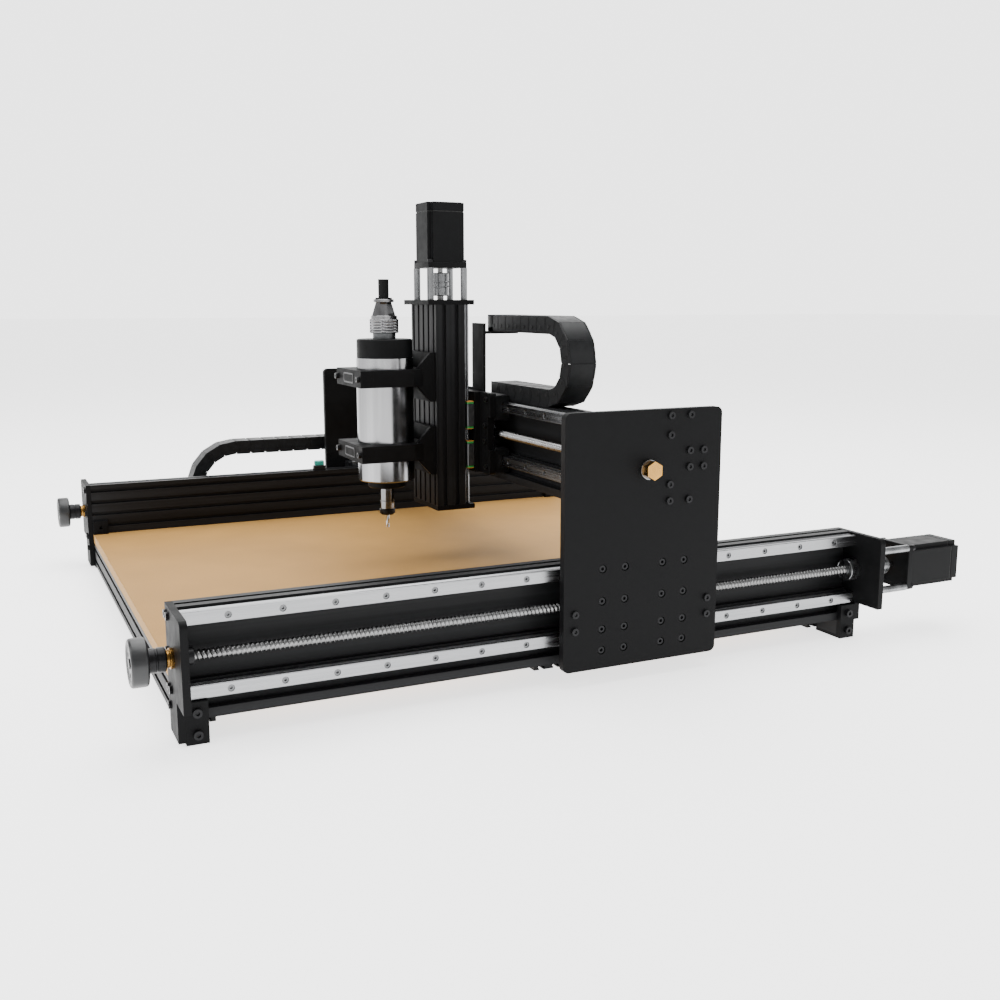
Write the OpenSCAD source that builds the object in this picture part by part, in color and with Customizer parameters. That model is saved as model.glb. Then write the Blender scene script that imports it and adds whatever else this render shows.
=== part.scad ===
// Bench-top CNC router: two channel beams, a moving gantry, a carriage and a Z column.
// Axes before the final shift: X across (0 = middle plane), Y from front to back
// (0 = front ends of the beams), Z up (0 = floor). All sizes are millimetres.

/* [Frame] */
// Width over the outer lips of the two channel beams
frame_w = 907; // [700:1:1200]
// Length of the two channel beams
beam_l = 900; // [700:1:1300]
// Depth of a channel beam, from its back to its lips
beam_w = 40; // [36:1:50]
// Height of a channel beam
beam_h = 120; // [110:1:150]
// Height of the beams' underside above the floor
foot_h = 24.5; // [22:0.5:40]
// Thickness of the spoilboard
board_t = 15; // [10:1:18]
// Thickness of the four beam end plates
end_t = 8; // [5:0.5:12]

/* [Channel section] */
// Pitch of the slots in every extrusion
cell = 20; // [18:1:22]
// Thickness of the channel's back web
web_t = 20; // [16:1:24]
// Depth of the seats that the rails lie in, from the lips
rail_seat = 12; // [10:0.5:13]
// Mouth width of a slot
slot_w = 6.2; // [5:0.1:8]

/* [Rails and screws] */
// Width of the profile rails on the channel beams
rail_w = 15; // [12:0.5:18]
// Height of those rails
rail_h = 15; // [13:0.5:17]
// Pitch of the rail screws
rail_pitch = 58; // [50:1:80]
// Place of the first rail screw from a rail's end
rail_first = 49.4; // [15:0.1:60]
// Length of a rail block
block_l = 61; // [50:1:66]
// Width of a rail block
block_w = 38; // [34:1:40]
// Height of a block's mounting face above the rail's base
block_h = 28; // [26:0.5:32]
// Diameter of the ball screws
screw_d = 12; // [10:0.5:16]
// Diameter of the screws' bearing journals
journal_d = 10; // [8:0.5:10]

/* [Gantry] */
// Length of a gantry plate, front to back
plate_l = 218; // [200:1:260]
// Height of a gantry plate
plate_h = 310; // [290:1:340]
// Thickness of a gantry plate
plate_t = 10; // [8:0.5:14]
// Place of the gantry plates' front edge at rest
plate_y = 434.5; // [400:0.5:470]
// Height of the gantry plates' lower edge above the floor
plate_z = 19.5; // [17:0.5:24]
// Place of the X beam's lips behind the plates' front edge
x_lip_in = 113.5; // [105:0.5:125]
// Height of the X beam's underside above the channel beams
x_beam_lift = 43.5; // [40:0.5:60]

/* [Carriage and column] */
// Width of the carriage plate
carriage_w = 175; // [150:1:200]
// Thickness of the carriage plate
carriage_t = 10; // [8:0.5:12]
// Thickness of the plate that carries the Z blocks
z_plate_t = 8; // [6:0.5:10]
// Width of the Z column
column_w = 100; // [92:1:120]
// Depth of the Z column
column_d = 46; // [40:1:54]
// Height of the Z column
column_h = 301; // [280:1:340]
// Height of the column's lower end above the channel beams at rest
column_lift = 5; // [0:1:10]

/* [Spindle] */
// Diameter of the spindle body
spindle_d = 85; // [80:1:90]
// Place of the spindle axis in front of the column
spindle_out = 63; // [58:1:70]
// Length of the spindle body without its cap
spindle_l = 184; // [170:1:200]
// Thickness of a spindle clamp
clamp_h = 24.5; // [20:0.5:30]
// Width of a spindle clamp
clamp_w = 114; // [108:1:130]

/* [Motors] */
// Width of the square stepper motors
motor_w = 60; // [56:1:62]
// Length of the stepper motors
motor_l = 95; // [76:1:110]
// Length of the standoffs that hold the beam motors
standoff_l = 62; // [56:1:70]

/* [Cable chains] */
// Width of the cable chains
chain_w = 44; // [35:1:45]
// Height of the cable chains
chain_h = 25; // [20:1:26]
// Bend radius of the X chain at its middle line
x_bend = 51; // [45:1:56]
// Bend radius of the Y chain at its middle line
y_bend = 75; // [65:1:80]

/* [Travel] */
// Half of the X travel
x_travel = 350; // [200:1:350]
// Y travel towards the front
y_front = 425; // [200:1:425]
// Y travel towards the back
y_back = 240; // [100:1:240]

/* [Hidden] */
$fn = 64;

// clearances
run_gap = 0.05;     // radial clearance of a shaft in its bore
rail_gap = 0.3;     // clearance of a block round its rail
seat_gap = 0.3;     // clearance between bodies that pass each other
clamp_gap = 0.15;   // radial clearance of the spindle in its clamps

// channel beam
lip_x = frame_w / 2;                     // plane of the right beam's lips
inner_x = lip_x - beam_w;                // plane of the right beam's back
beam_top = foot_h + beam_h;
rail_low = 1.5 * cell;                   // lower rail's middle above the beam's underside
rail_high = beam_h - cell / 2;           // upper rail's middle
rail_rows = [rail_low, rail_high];
screw_row = (rail_low + rail_high) / 2;  // screw's middle above the beam's underside
slot_lip = 2;
slot_in = 11;
slot_floor = 5.6;
slot_depth = 6;
lip_h = rail_low - block_w / 2 - 0.4;    // height of the channel's lower lip
rail_bolt_d = 7;
rail_bore_d = 7.6;
rail_bolt_h = 4;
block_floor = 4;                         // a block's underside above the rail's base
block_cap = 9;                           // length of a block's end caps

// Y axis hardware
screw_x = lip_x;
screw_z = foot_h + screw_row;
face_x = lip_x - rail_seat + block_h;    // inner face of the right gantry plate
plate_out = 50;                          // an end plate's reach outside the lips
bush_d = 22;
bush_l = 7.5;
wheel_d = 51;
wheel_l = 18;
collar_d = 26;
collar_l = 18.2;
bearing_d = 30;
bearing_l = 15;
coupling_d = 25;
coupling_l = 34;
shaft_d = 8;
rear_y = beam_l + end_t;
y_motor_y = rear_y + standoff_l;
standoff_d = 10;
standoff_in = motor_w * 0.45;            // a standoff's place from the motor's middle
motor_flange = 8;

// feet and bearers
bearer_w = 2 * cell;
bearer_top = foot_h + cell;
bearer_low = bearer_top - bearer_w;
foot_t = 8;
foot_l = 24;
foot_z = foot_h + rail_low - rail_w / 2 - 0.5;
bracket_h = 23;
bearer_spots = [0, (beam_l - bearer_w) / 2, beam_l - bearer_w];
foot_spots = [0, beam_l - foot_l];
end_bolt_places = [
    for (z = [0.5, 1.5, 3.5, floor(beam_h / cell) - 0.5])
        [inner_x + cell / 2, foot_h + z * cell],
    for (z = rail_rows) [lip_x - rail_seat - 6, foot_h + z]];

// gantry
plate_mid_y = plate_y + plate_l / 2;
block_y = [plate_mid_y - 42.15, plate_mid_y + 42.15];
block_holes_y = [-56.4, -25.3, 27.9, 59.1];
nut_half = 65;
nut_plate_t = 6;
nut_box = [22, 36, 32];
nut_d = 24;
nut_l = 60;
x_lip = plate_y + x_lip_in;              // plane of the X beam's lips
x_back = x_lip + beam_w;
x_beam_z = beam_top + x_beam_lift;
x_screw_z = x_beam_z + screw_row;
x_beam_l = 2 * face_x;
outer_x = face_x + plate_t;              // outer face of the right gantry plate
stiff_gap = 8;
stiff_h = 4 * cell;
stiff_lift = cell;
ring_d = 24;
ring_l = 3;
// block and nut screws' rows above the plate's lower edge
plate_hole_z = [for (z = [rail_low - 12.2, rail_low + 13.9, screw_row + 8.4, rail_high + 8])
                foot_h + z - plate_z];
// screws into the X beam, the stiffener and the plate's sides, in Y and Z
beam_screw_y = x_back - cell / 2;
stiff_screw_y = x_back + stiff_gap + cell / 2;
side_screw_in = 15;
function plate_screws(row) = [
    for (z = [1.5, row, 5.5]) [beam_screw_y, x_beam_z + z * cell],
    for (z = [0.5, 2.5, 3.5]) [stiff_screw_y, x_beam_z + stiff_lift + z * cell],
    for (z = [2.5, 3.5]) [stiff_screw_y + cell, x_beam_z + stiff_lift + z * cell],
    for (y = [beam_screw_y, stiff_screw_y]) [y, x_beam_z + beam_h + 13.5],
    for (y = [plate_y + side_screw_in, plate_y + plate_l - side_screw_in])
        for (z = [screw_row - 24.3, screw_row - 3.7]) [y, foot_h + z]];

// carriage, back to front
x_rail_base = x_lip + rail_seat;
carriage_y = x_rail_base - block_h - carriage_t;
z_plate_y = carriage_y - z_plate_t;
carriage_z = x_beam_z + rail_low - block_w / 2 - 0.5;
carriage_h = rail_high - rail_low + block_w + 4;
z_rail_w = 15;
z_rail_h = 10;
z_block = [32, 16, 42];                  // width, height over the rail's base, length
z_block_floor = 4;
z_rail_x = (column_w - z_block[0]) / 2;
column_back = z_plate_y - z_block[1];
column_y = column_back - column_d;
column_z = beam_top + column_lift;
z_block_z = [carriage_z + 27, carriage_z + carriage_h - 35];
z_channel = column_w - 2 * z_block[0];   // width of the column's rear channel
z_web = 14;
z_screw_y = column_back - 18;
z_nut_d = 22;
z_end_t = 7;
z_top_z = column_z + column_h;
z_standoff_l = 47;
z_motor_z = z_top_z + z_end_t + z_standoff_l;

// spindle and clamps
spindle_y = column_y - spindle_out;
spindle_z = beam_top + 44;
spindle_cap = 28;
spindle_r = spindle_d / 2;
clamp_z = [beam_top + 77.8, beam_top + 187.5];
clamp_front = spindle_y - spindle_r - 14.5;
clamp_split = clamp_front + 19;
clamp_flange = 8;
clamp_n = column_w / 2 - 4;              // half width of a clamp at the column
clamp_reach = 24;                        // its flange's reach above and below the arm
gusset_t = 7;
gusset_l = 22;
nose_d = 21;
nose_top = spindle_z - 11;
collet_top = beam_top - 1;
collet_d = 24;
collet_h = 9;
mill_d = 6;
mill_tip = beam_top - 30;
conn_z = spindle_z + spindle_l + spindle_cap;

// cable chains
x_chain_y = x_rail_base - block_floor + 1;
x_chain_bottom = x_beam_z + beam_h + seat_gap;
x_bend_z = x_chain_bottom + chain_h / 2 + x_bend;
x_fixed_x = 13.5;
x_moving_x = 21.5;
x_loop_x = x_moving_x + x_travel / 2 + 4.5;
x_end_l = 18;
bracket_x = [0.5, 42.5];
bracket_t = 4;
y_chain_x = -(lip_x + plate_out + 1.5 + chain_w);
y_chain_top = beam_top + 52;
y_bend_z = y_chain_top - chain_h / 2 - y_bend;
y_chain_bottom = y_bend_z - y_bend - chain_h / 2;
y_moving_y = plate_y + 110.5;
y_loop_y = y_moving_y - y_front / 2 - 61.5;
y_fixed_y = y_loop_y + y_back / 2 + 79;
y_end_l = 25;
tray_t = 3;
link_gap = 0.4;

// outer limits, used to put the origin under the middle of the whole machine
low_x = -(outer_x + standoff_l + motor_l);
high_x = lip_x + plate_out;
low_y = -(end_t + bush_l + seat_gap + collar_l + wheel_l);
high_y = y_motor_y + motor_l;
home = [-(low_x + high_x) / 2, -(low_y + high_y) / 2, 0];

// ---------- helpers ----------

// a profile drawn in X-Z, run from Y = 0 to Y = len
module along_y(len) {
    translate([0, len, 0]) rotate([90, 0, 0]) linear_extrude(len) children();
}

// a profile drawn in Y-Z, run from X = 0 to X = len
module along_x(len) {
    rotate([90, 0, 90]) linear_extrude(len) children();
}

// the children on the right and their mirror image on the left
module both_sides() {
    children();
    mirror([1, 0, 0]) children();
}

module rod_y(d, y0, y1) {
    translate([0, y0, 0]) rotate([-90, 0, 0]) cylinder(d = d, h = y1 - y0);
}

module rod_x(d, x0, x1) {
    translate([x0, 0, 0]) rotate([0, 90, 0]) cylinder(d = d, h = x1 - x0);
}

// rectangle with round corners, lowest corner at the origin
module round_rect(w, h, r) {
    translate([r, 0]) square([w - 2 * r, h]);
    translate([0, r]) square([w, h - 2 * r]);
    for (x = [r, w - r])
        for (y = [r, h - r])
            translate([x, y]) circle(r = r);
}

// slot cut into a face that looks along +X at x = 0
module slot_cut() {
    translate([-slot_lip - 0.5, -slot_w / 2]) square([slot_lip + 1.5, slot_w]);
    polygon([[-slot_lip, -slot_in / 2], [-slot_lip, slot_in / 2],
             [-slot_depth, slot_floor / 2], [-slot_depth, -slot_floor / 2]]);
}

// square extrusion with slots on all four sides, lowest corner at the origin
module slotted_bar(w, h) {
    difference() {
        square([w, h]);
        for (y = [cell / 2 : cell : h]) {
            translate([w, y]) slot_cut();
            translate([0, y]) mirror([1, 0]) slot_cut();
        }
        for (x = [cell / 2 : cell : w]) {
            translate([x, h]) rotate(90) slot_cut();
            translate([x, 0]) rotate(-90) slot_cut();
        }
    }
}

// channel beam's section: lip at x = 0, back at x = -beam_w, underside at y = 0;
// both rails lie on the plane at x = -rail_seat
module channel_section() {
    difference() {
        translate([-beam_w, 0]) square([beam_w, beam_h]);
        translate([-(beam_w - web_t), 2 * cell]) square([beam_w, beam_h - 3 * cell]);
        translate([-rail_seat, lip_h]) square([beam_w, beam_h]);
        for (y = [cell / 2 : cell : beam_h])
            translate([-beam_w, y]) mirror([1, 0]) slot_cut();
        translate([-(beam_w + rail_seat) / 2, beam_h]) rotate(90) slot_cut();
        translate([-beam_w / 2, 0]) rotate(-90) slot_cut();
    }
}

// profile rail's section: base on y = 0, head at y = h, grown by gap on all free sides
module rail_section(w, h, gap) {
    a = w / 2 + gap;
    b = w / 2 - 2 + gap;
    top = h + gap;
    low = gap > 0 ? -1 : 0;
    polygon([[-a, low], [a, low], [a, h * 0.26 - gap / 2], [b, h * 0.42], [b, h * 0.58],
             [a, h * 0.76], [a, top - 0.8], [a - 0.8, top], [-a + 0.8, top],
             [-a, top - 0.8], [-a, h * 0.76], [-b, h * 0.58], [-b, h * 0.42],
             [-a, h * 0.26 - gap / 2]]);
}

// places of the rail screws along a rail
function rail_spots(len) = [for (s = [rail_first : rail_pitch : len - 10]) s];

// rail that runs along +Z from 0 to len, base on y = 0, with its screw holes
module rail(w, h, len) {
    difference() {
        linear_extrude(len) rail_section(w, h, 0);
        for (s = rail_spots(len))
            translate([0, 0, s]) rotate([-90, 0, 0]) {
                translate([0, 0, -1]) cylinder(d = 4.4, h = h + 2);
                translate([0, 0, h - 5]) cylinder(d = rail_bore_d, h = 6);
            }
    }
}

// socket-head screws of one rail, in the same place as the rail
module rail_screws(h, len) {
    for (s = rail_spots(len))
        translate([0, 0, s]) rotate([-90, 0, 0]) {
            cylinder(d = 4, h = h - 5);
            translate([0, 0, h - 5]) cap_head(rail_bolt_d, rail_bolt_h);
        }
}

// screw head that stands on z = 0, with a hexagon socket
module cap_head(d, h) {
    difference() {
        cylinder(d = d, h = h);
        translate([0, 0, h * 0.45]) cylinder(d = d * 0.52, h = h, $fn = 6);
    }
}

// rail block that runs along Z, centred on z = 0, rail base on y = 0
module rail_block(w, h, len, low, rw, rh) {
    difference() {
        union() {
            linear_extrude(len - 2 * block_cap, center = true)
                translate([-w / 2, low]) square([w, h - low]);
            linear_extrude(len, center = true)
                translate([-w / 2 + 1, low + 0.6]) square([w - 2, h - low - 1.6]);
        }
        linear_extrude(len + 2, center = true) rail_section(rw, rh, rail_gap);
    }
}

// stepper motor: front face on z = 0, body towards +Z, blind hole for the shaft
module stepper(w, len) {
    cut = w * 0.11;
    difference() {
        union() {
            linear_extrude(motor_flange) difference() {
                translate([-w / 2 - 1, -w / 2 - 1]) round_rect(w + 2, w + 2, 3);
                for (x = [-1, 1])
                    for (y = [-1, 1])
                        translate([x * standoff_in, y * standoff_in]) circle(d = 4.2);
            }
            linear_extrude(len) difference() {
                square(w - 1, center = true);
                for (x = [-1, 1])
                    for (y = [-1, 1])
                        translate([x * w / 2, y * w / 2]) square(2 * cut, center = true);
            }
        }
        translate([0, 0, -1]) cylinder(d = shaft_d + 2 * run_gap, h = 21);
    }
}

// four standoffs that stand on z = 0
module standoffs(len) {
    for (x = [-1, 1])
        for (y = [-1, 1])
            translate([x * standoff_in, y * standoff_in, 0])
                cylinder(d = standoff_d, h = len);
}

// half ring of chain, centred on the origin, open towards -x
module chain_bend(r) {
    difference() {
        circle(r = r + chain_h / 2, $fn = 96);
        circle(r = r - chain_h / 2, $fn = 96);
        translate([-4 * r, -2 * r]) square([4 * r, 4 * r]);
    }
}

// ---------- frame ----------

module y_beams() {
    color("#1d1e20") both_sides() translate([lip_x, 0, foot_h])
        along_y(beam_l) channel_section();
}

module right_rail_places() {
    for (z = rail_rows)
        translate([lip_x - rail_seat, 0, foot_h + z]) rotate([-90, -90, 0])
            children();
}

module y_rails() {
    color("silver") both_sides() right_rail_places() rail(rail_w, rail_h, beam_l);
}

module y_rail_bolts() {
    color("#222222") both_sides() right_rail_places() rail_screws(rail_h, beam_l);
}

// end plate's outline in X-Z, without the shaft hole
module end_outline(bottom) {
    corner = 8;
    difference() {
        union() {
            translate([inner_x, beam_top - 96])
                square([beam_w + plate_out, 96]);
            translate([inner_x, bottom])
                square([beam_w + foot_t, beam_top - bottom]);
        }
        translate([lip_x + plate_out - corner, beam_top - corner])
            difference() {
                square(corner + 1);
                circle(r = corner);
            }
        translate([screw_x, screw_z]) circle(d = bush_d - 6);
        for (p = end_bolt_places)
            translate(p) circle(d = 5.4);
    }
}

module end_plates() {
    color("#232427") both_sides() {
        translate([0, -end_t, 0]) along_y(end_t) end_outline(foot_h - cell - 1);
        translate([0, beam_l, 0]) along_y(end_t) end_outline(foot_h);
    }
}

module frame_bolts() {
    color("#17181a") both_sides() {
        for (p = end_bolt_places) {
            translate([p[0], -end_t, p[1]]) rotate([90, 0, 0]) cap_head(9, 3);
            translate([p[0], rear_y, p[1]]) rotate([-90, 0, 0]) cap_head(9, 3);
        }
        for (y = foot_spots)
            for (z = [foot_h - 13.5, foot_h + 10.5])
                translate([lip_x + foot_t, y + foot_l / 2, z]) rotate([0, 90, 0])
                    cap_head(10, 4.5);
    }
}

module bearers() {
    color("#202124") for (y = bearer_spots)
        translate([0, y, bearer_low]) difference() {
            translate([-lip_x, 0, 0]) along_x(frame_w) slotted_bar(bearer_w, bearer_w);
            both_sides() translate([inner_x, -1, foot_h - bearer_low])
                cube([beam_w + 1, bearer_w + 2, bearer_w]);
            both_sides() translate([inner_x, foot_l - y, -1])
                cube([beam_w + 1, beam_l - 2 * foot_l, bearer_w]);
        }
}

module spoilboard() {
    color("#c9a983") translate([-inner_x, 0, bearer_top])
        cube([2 * inner_x, beam_l, board_t]);
}

// outer brackets that the machine stands on, and small inner ones on the spoilboard
module corner_brackets() {
    color("#26272a") both_sides() for (y = foot_spots) {
        translate([lip_x, y, 0]) cube([foot_t, foot_l, foot_z]);
        translate([inner_x, y, 0]) cube([beam_w, foot_l, bearer_low]);
        translate([inner_x - foot_t, y, bearer_top + board_t]) difference() {
            cube([foot_t, foot_l, bracket_h]);
            translate([0, foot_l / 2, bracket_h / 2]) rod_x(5.4, -1, foot_t + 1);
        }
    }
}

module screw_bearings() {
    bore = journal_d + 2 * run_gap;
    color("goldenrod") both_sides() translate([screw_x, 0, screw_z]) {
        difference() {
            union() {
                rod_y(bush_d, -end_t - bush_l, -end_t);
                rod_y(bush_d - 6, -end_t, 0);
            }
            rod_y(bore, -end_t - bush_l - 1, 1);
        }
        difference() {
            union() {
                rod_y(bearing_d, beam_l - bearing_l, beam_l);
                rod_y(bush_d - 6, beam_l, rear_y + 3);
            }
            rod_y(bore, beam_l - bearing_l - 1, rear_y + 4);
        }
    }
}

module y_motors() {
    color("#1b1c1f") both_sides() translate([screw_x, y_motor_y, screw_z])
        rotate([-90, 0, 0]) stepper(motor_w, motor_l);
}

module y_standoffs() {
    color("silver") both_sides() translate([screw_x, rear_y, screw_z])
        rotate([-90, 0, 0]) standoffs(standoff_l);
}

module y_chain_tray() {
    low = bearer_low + 2;
    arm_top = plate_z - 2.5;
    arm_w = bearer_w - foot_l - 2;
    tray_z = y_chain_bottom - tray_t;
    color("#2a2b2e") {
        translate([y_chain_x - 2, 5, tray_z])
            cube([chain_w + 4, y_fixed_y + y_end_l - 5, tray_t]);
        for (y = [foot_l + 1, bearer_spots[1] + 5])
            difference() {
                translate([y_chain_x - 2, y, low])
                    cube([-inner_x - y_chain_x + 2, arm_w, tray_z - low]);
                translate([y_chain_x + chain_w + 2.5, y - 1, arm_top])
                    cube([plate_out + beam_w + 20, arm_w + 2, tray_z]);
            }
        translate([y_chain_x, y_fixed_y, y_chain_bottom])
            cube([chain_w, y_end_l, chain_h]);
    }
}

module y_chain_lower() {
    color("#2f3133") translate([y_chain_x, y_loop_y + link_gap, y_chain_bottom + link_gap])
        cube([chain_w, y_fixed_y - y_loop_y - 2 * link_gap, chain_h - link_gap]);
}

module home_switch() {
    color("#1f7f7c") translate([-inner_x - 12, plate_y - 40, beam_top]) {
        cube([10, 22, 9]);
        translate([1, 2, 9]) cube([8, 18, 9]);
    }
}

// ---------- Y screws ----------

module y_screw_shape() {
    color("silver") translate([screw_x, 0, screw_z]) {
        rod_y(journal_d, -end_t - bush_l - collar_l - wheel_l, 1);
        rod_y(screw_d, 1, beam_l - bearing_l - 1);
        rod_y(journal_d, beam_l - bearing_l - 1, rear_y + 16);
        rod_y(coupling_d, rear_y + 14, rear_y + 14 + coupling_l);
        rod_y(shaft_d, rear_y + 14 + coupling_l, y_motor_y + 16);
    }
}

module handwheel_shape() {
    back = -end_t - bush_l - seat_gap;
    rim = 3;
    r = wheel_d / 2;
    color("#8d8f92") translate([screw_x, 0, screw_z]) {
        difference() {
            translate([0, back, 0]) rotate([90, 0, 0]) union() {
                cylinder(d = collar_d, h = collar_l);
                translate([0, 0, collar_l]) rotate_extrude() difference() {
                    union() {
                        square([r - rim, wheel_l]);
                        translate([0, rim]) square([r, wheel_l - 2 * rim]);
                        translate([r - rim, rim]) circle(r = rim);
                        translate([r - rim, wheel_l - rim]) circle(r = rim);
                    }
                    translate([-2 * r, -1]) square([2 * r, wheel_l + 2]);
                }
            }
            rod_y(journal_d, back - collar_l - wheel_l - 1, back + 1);
        }
    }
}

module right_y_screw() {
    y_screw_shape();
}

module left_y_screw() {
    mirror([1, 0, 0]) y_screw_shape();
}

module right_handwheel() {
    handwheel_shape();
}

module left_handwheel() {
    mirror([1, 0, 0]) handwheel_shape();
}

// ---------- gantry ----------

// gantry plate in Y-Z with its lowest front corner at the origin
module gantry_outline() {
    difference() {
        round_rect(plate_l, plate_h, 8);
        translate([x_lip_in, x_screw_z - plate_z]) circle(d = bush_d - 6);
        for (y = block_holes_y)
            for (z = plate_hole_z)
                translate([plate_l / 2 + y, z]) circle(d = 5.4);
    }
}

module gantry_plate_shape() {
    difference() {
        translate([face_x, plate_y, plate_z]) along_x(plate_t) gantry_outline();
        for (y = block_holes_y)
            for (z = plate_hole_z)
                translate([outer_x - 6, plate_mid_y + y, plate_z + z]) rotate([0, 90, 0])
                    cylinder(d = 10.4, h = 7);
    }
}

module right_gantry_plate() {
    color("#1c1d20") gantry_plate_shape();
}

module left_gantry_plate() {
    color("#1c1d20") mirror([1, 0, 0]) gantry_plate_shape();
}

module gantry_bolts() {
    color("#111214") {
        both_sides() for (y = block_holes_y)
            for (z = plate_hole_z)
                translate([outer_x - 6, plate_mid_y + y, plate_z + z]) rotate([0, 90, 0])
                    cap_head(8.5, 5);
        for (p = plate_screws(2.5))
            translate([outer_x, p[0], p[1]]) rotate([0, 90, 0]) cap_head(9, 3);
        for (p = plate_screws(3.5))
            translate([-outer_x, p[0], p[1]]) rotate([0, -90, 0]) cap_head(9, 3);
    }
}

module x_beam() {
    color("#1d1e20") translate([-face_x, x_lip, x_beam_z])
        along_x(x_beam_l) mirror([1, 0]) channel_section();
}

module rear_stiffener() {
    color("#202124") translate([-face_x, x_back + stiff_gap, x_beam_z + stiff_lift])
        along_x(x_beam_l) slotted_bar(2 * cell, stiff_h);
}

module x_rail_places() {
    for (z = rail_rows)
        translate([-face_x, x_rail_base, x_beam_z + z]) rotate([0, 90, 0])
            rotate([0, 0, 180]) children();
}

module x_rails() {
    color("silver") x_rail_places() rail(rail_w, rail_h, x_beam_l);
}

module x_rail_bolts() {
    color("#222222") x_rail_places() rail_screws(rail_h, x_beam_l);
}

module y_blocks() {
    color("#b9bcc0") both_sides() for (y = block_y)
        translate([0, y, 0]) right_rail_places()
            rail_block(block_w, block_h, block_l, block_floor, rail_w, rail_h);
}

module y_nut_brackets() {
    room = (rail_high - rail_low) - block_w - 1;
    color("#9a9da1") both_sides() difference() {
        union() {
            translate([face_x - nut_plate_t, plate_mid_y - nut_half, screw_z - room / 2])
                cube([nut_plate_t, 2 * nut_half, room]);
            translate([screw_x - nut_box[0] / 2 - 1, plate_mid_y - nut_box[1] / 2,
                       screw_z - nut_box[2] / 2])
                cube([face_x - screw_x + nut_box[0] / 2 + 1, nut_box[1], nut_box[2]]);
            translate([screw_x, 0, screw_z])
                rod_y(nut_d, plate_mid_y - nut_l / 2, plate_mid_y + nut_l / 2);
        }
        translate([screw_x, 0, screw_z])
            rod_y(screw_d + 2 * run_gap, plate_mid_y - nut_half, plate_mid_y + nut_half);
    }
}

module x_bearings() {
    bore = journal_d + 2 * run_gap;
    color("#a7aaad") both_sides() translate([0, x_lip, x_screw_z]) difference() {
        union() {
            rod_x(bearing_d, face_x - 12, face_x);
            rod_x(bush_d - 6, face_x, outer_x);
            rod_x(ring_d, outer_x, outer_x + ring_l);
        }
        rod_x(bore, face_x - 13, outer_x + ring_l + 1);
    }
}

module x_standoffs() {
    color("silver") translate([-outer_x, x_lip, x_screw_z]) rotate([0, -90, 0])
        standoffs(standoff_l);
}

module x_motor() {
    color("#1b1c1f") translate([-outer_x - standoff_l, x_lip, x_screw_z])
        rotate([0, -90, 0]) stepper(motor_w, motor_l);
}

module x_chain_lower() {
    color("#2f3133") translate([x_fixed_x, x_chain_y, x_chain_bottom])
        cube([x_loop_x - x_fixed_x - link_gap, chain_w, chain_h - link_gap]);
}

// ---------- X screw ----------

module x_screw() {
    drive = -outer_x - ring_l;
    color("silver") translate([0, x_lip, x_screw_z]) {
        rod_x(screw_d, -face_x + 13, face_x - 13);
        rod_x(journal_d, face_x - 13, outer_x + 10);
        rod_x(journal_d, drive - 9, -face_x + 13);
        rod_x(coupling_d, drive - 7 - coupling_l, drive - 7);
        rod_x(shaft_d, -outer_x - standoff_l - 16, drive - 7 - coupling_l);
    }
}

module x_end_nut() {
    color("goldenrod") translate([0, x_lip, x_screw_z]) difference() {
        rotate([0, 90, 0]) translate([0, 0, outer_x + ring_l + seat_gap])
            cylinder(d = 23, h = 11, $fn = 6);
        rod_x(journal_d, outer_x + ring_l, outer_x + 10);
    }
}

// ---------- carriage ----------

module carriage_plate() {
    notch = [8, 50];
    color("#222326") translate([-carriage_w / 2, carriage_y + carriage_t, carriage_z])
        rotate([90, 0, 0]) linear_extrude(carriage_t) difference() {
            round_rect(carriage_w, carriage_h, 4);
            for (x = [-0.01, carriage_w - notch[0]])
                translate([x, (carriage_h - notch[1]) / 2])
                    square([notch[0] + 0.01, notch[1]]);
        }
}

module z_back_plate() {
    color("#26272a") translate([-column_w / 2, z_plate_y, carriage_z])
        cube([column_w, z_plate_t, carriage_h]);
}

module x_blocks() {
    half = (carriage_w - 2 * 5 - block_l) / 2;
    color("#b9bcc0") for (x = [-half, half])
        translate([x + face_x, 0, 0]) x_rail_places()
            rail_block(block_w, block_h, block_l, block_floor, rail_w, rail_h);
}

module x_nut_bracket() {
    room = (rail_high - rail_low) - block_w - 1;
    near = carriage_y + carriage_t;
    color("#9a9da1") difference() {
        union() {
            translate([-45, near, x_screw_z - room / 2]) cube([90, nut_plate_t, room]);
            translate([-18, near, x_screw_z - nut_box[2] / 2])
                cube([36, x_lip - near + nut_box[0] / 2, nut_box[2]]);
            translate([0, x_lip, x_screw_z]) rod_x(nut_d, -nut_l / 2, nut_l / 2);
        }
        translate([0, x_lip, x_screw_z]) rod_x(screw_d + 2 * run_gap, -60, 60);
    }
}

module z_blocks() {
    color("#b9bcc0") for (x = [-z_rail_x, z_rail_x])
        for (z = z_block_z)
            translate([x, column_back, z])
                rail_block(z_block[0], z_block[1], z_block[2], z_block_floor,
                           z_rail_w, z_rail_h);
}

module z_nut_bracket() {
    w = z_channel - 6;
    z0 = (z_block_z[0] + z_block_z[1]) / 2 - 15;
    color("#9a9da1") difference() {
        union() {
            translate([-w / 2, z_screw_y, z0]) cube([w, z_plate_y - z_screw_y, 30]);
            translate([0, z_screw_y, z0 - 6]) cylinder(d = z_nut_d, h = 42);
        }
        translate([0, z_screw_y, z0 - 7]) cylinder(d = screw_d + 2 * run_gap, h = 44);
    }
}

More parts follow.
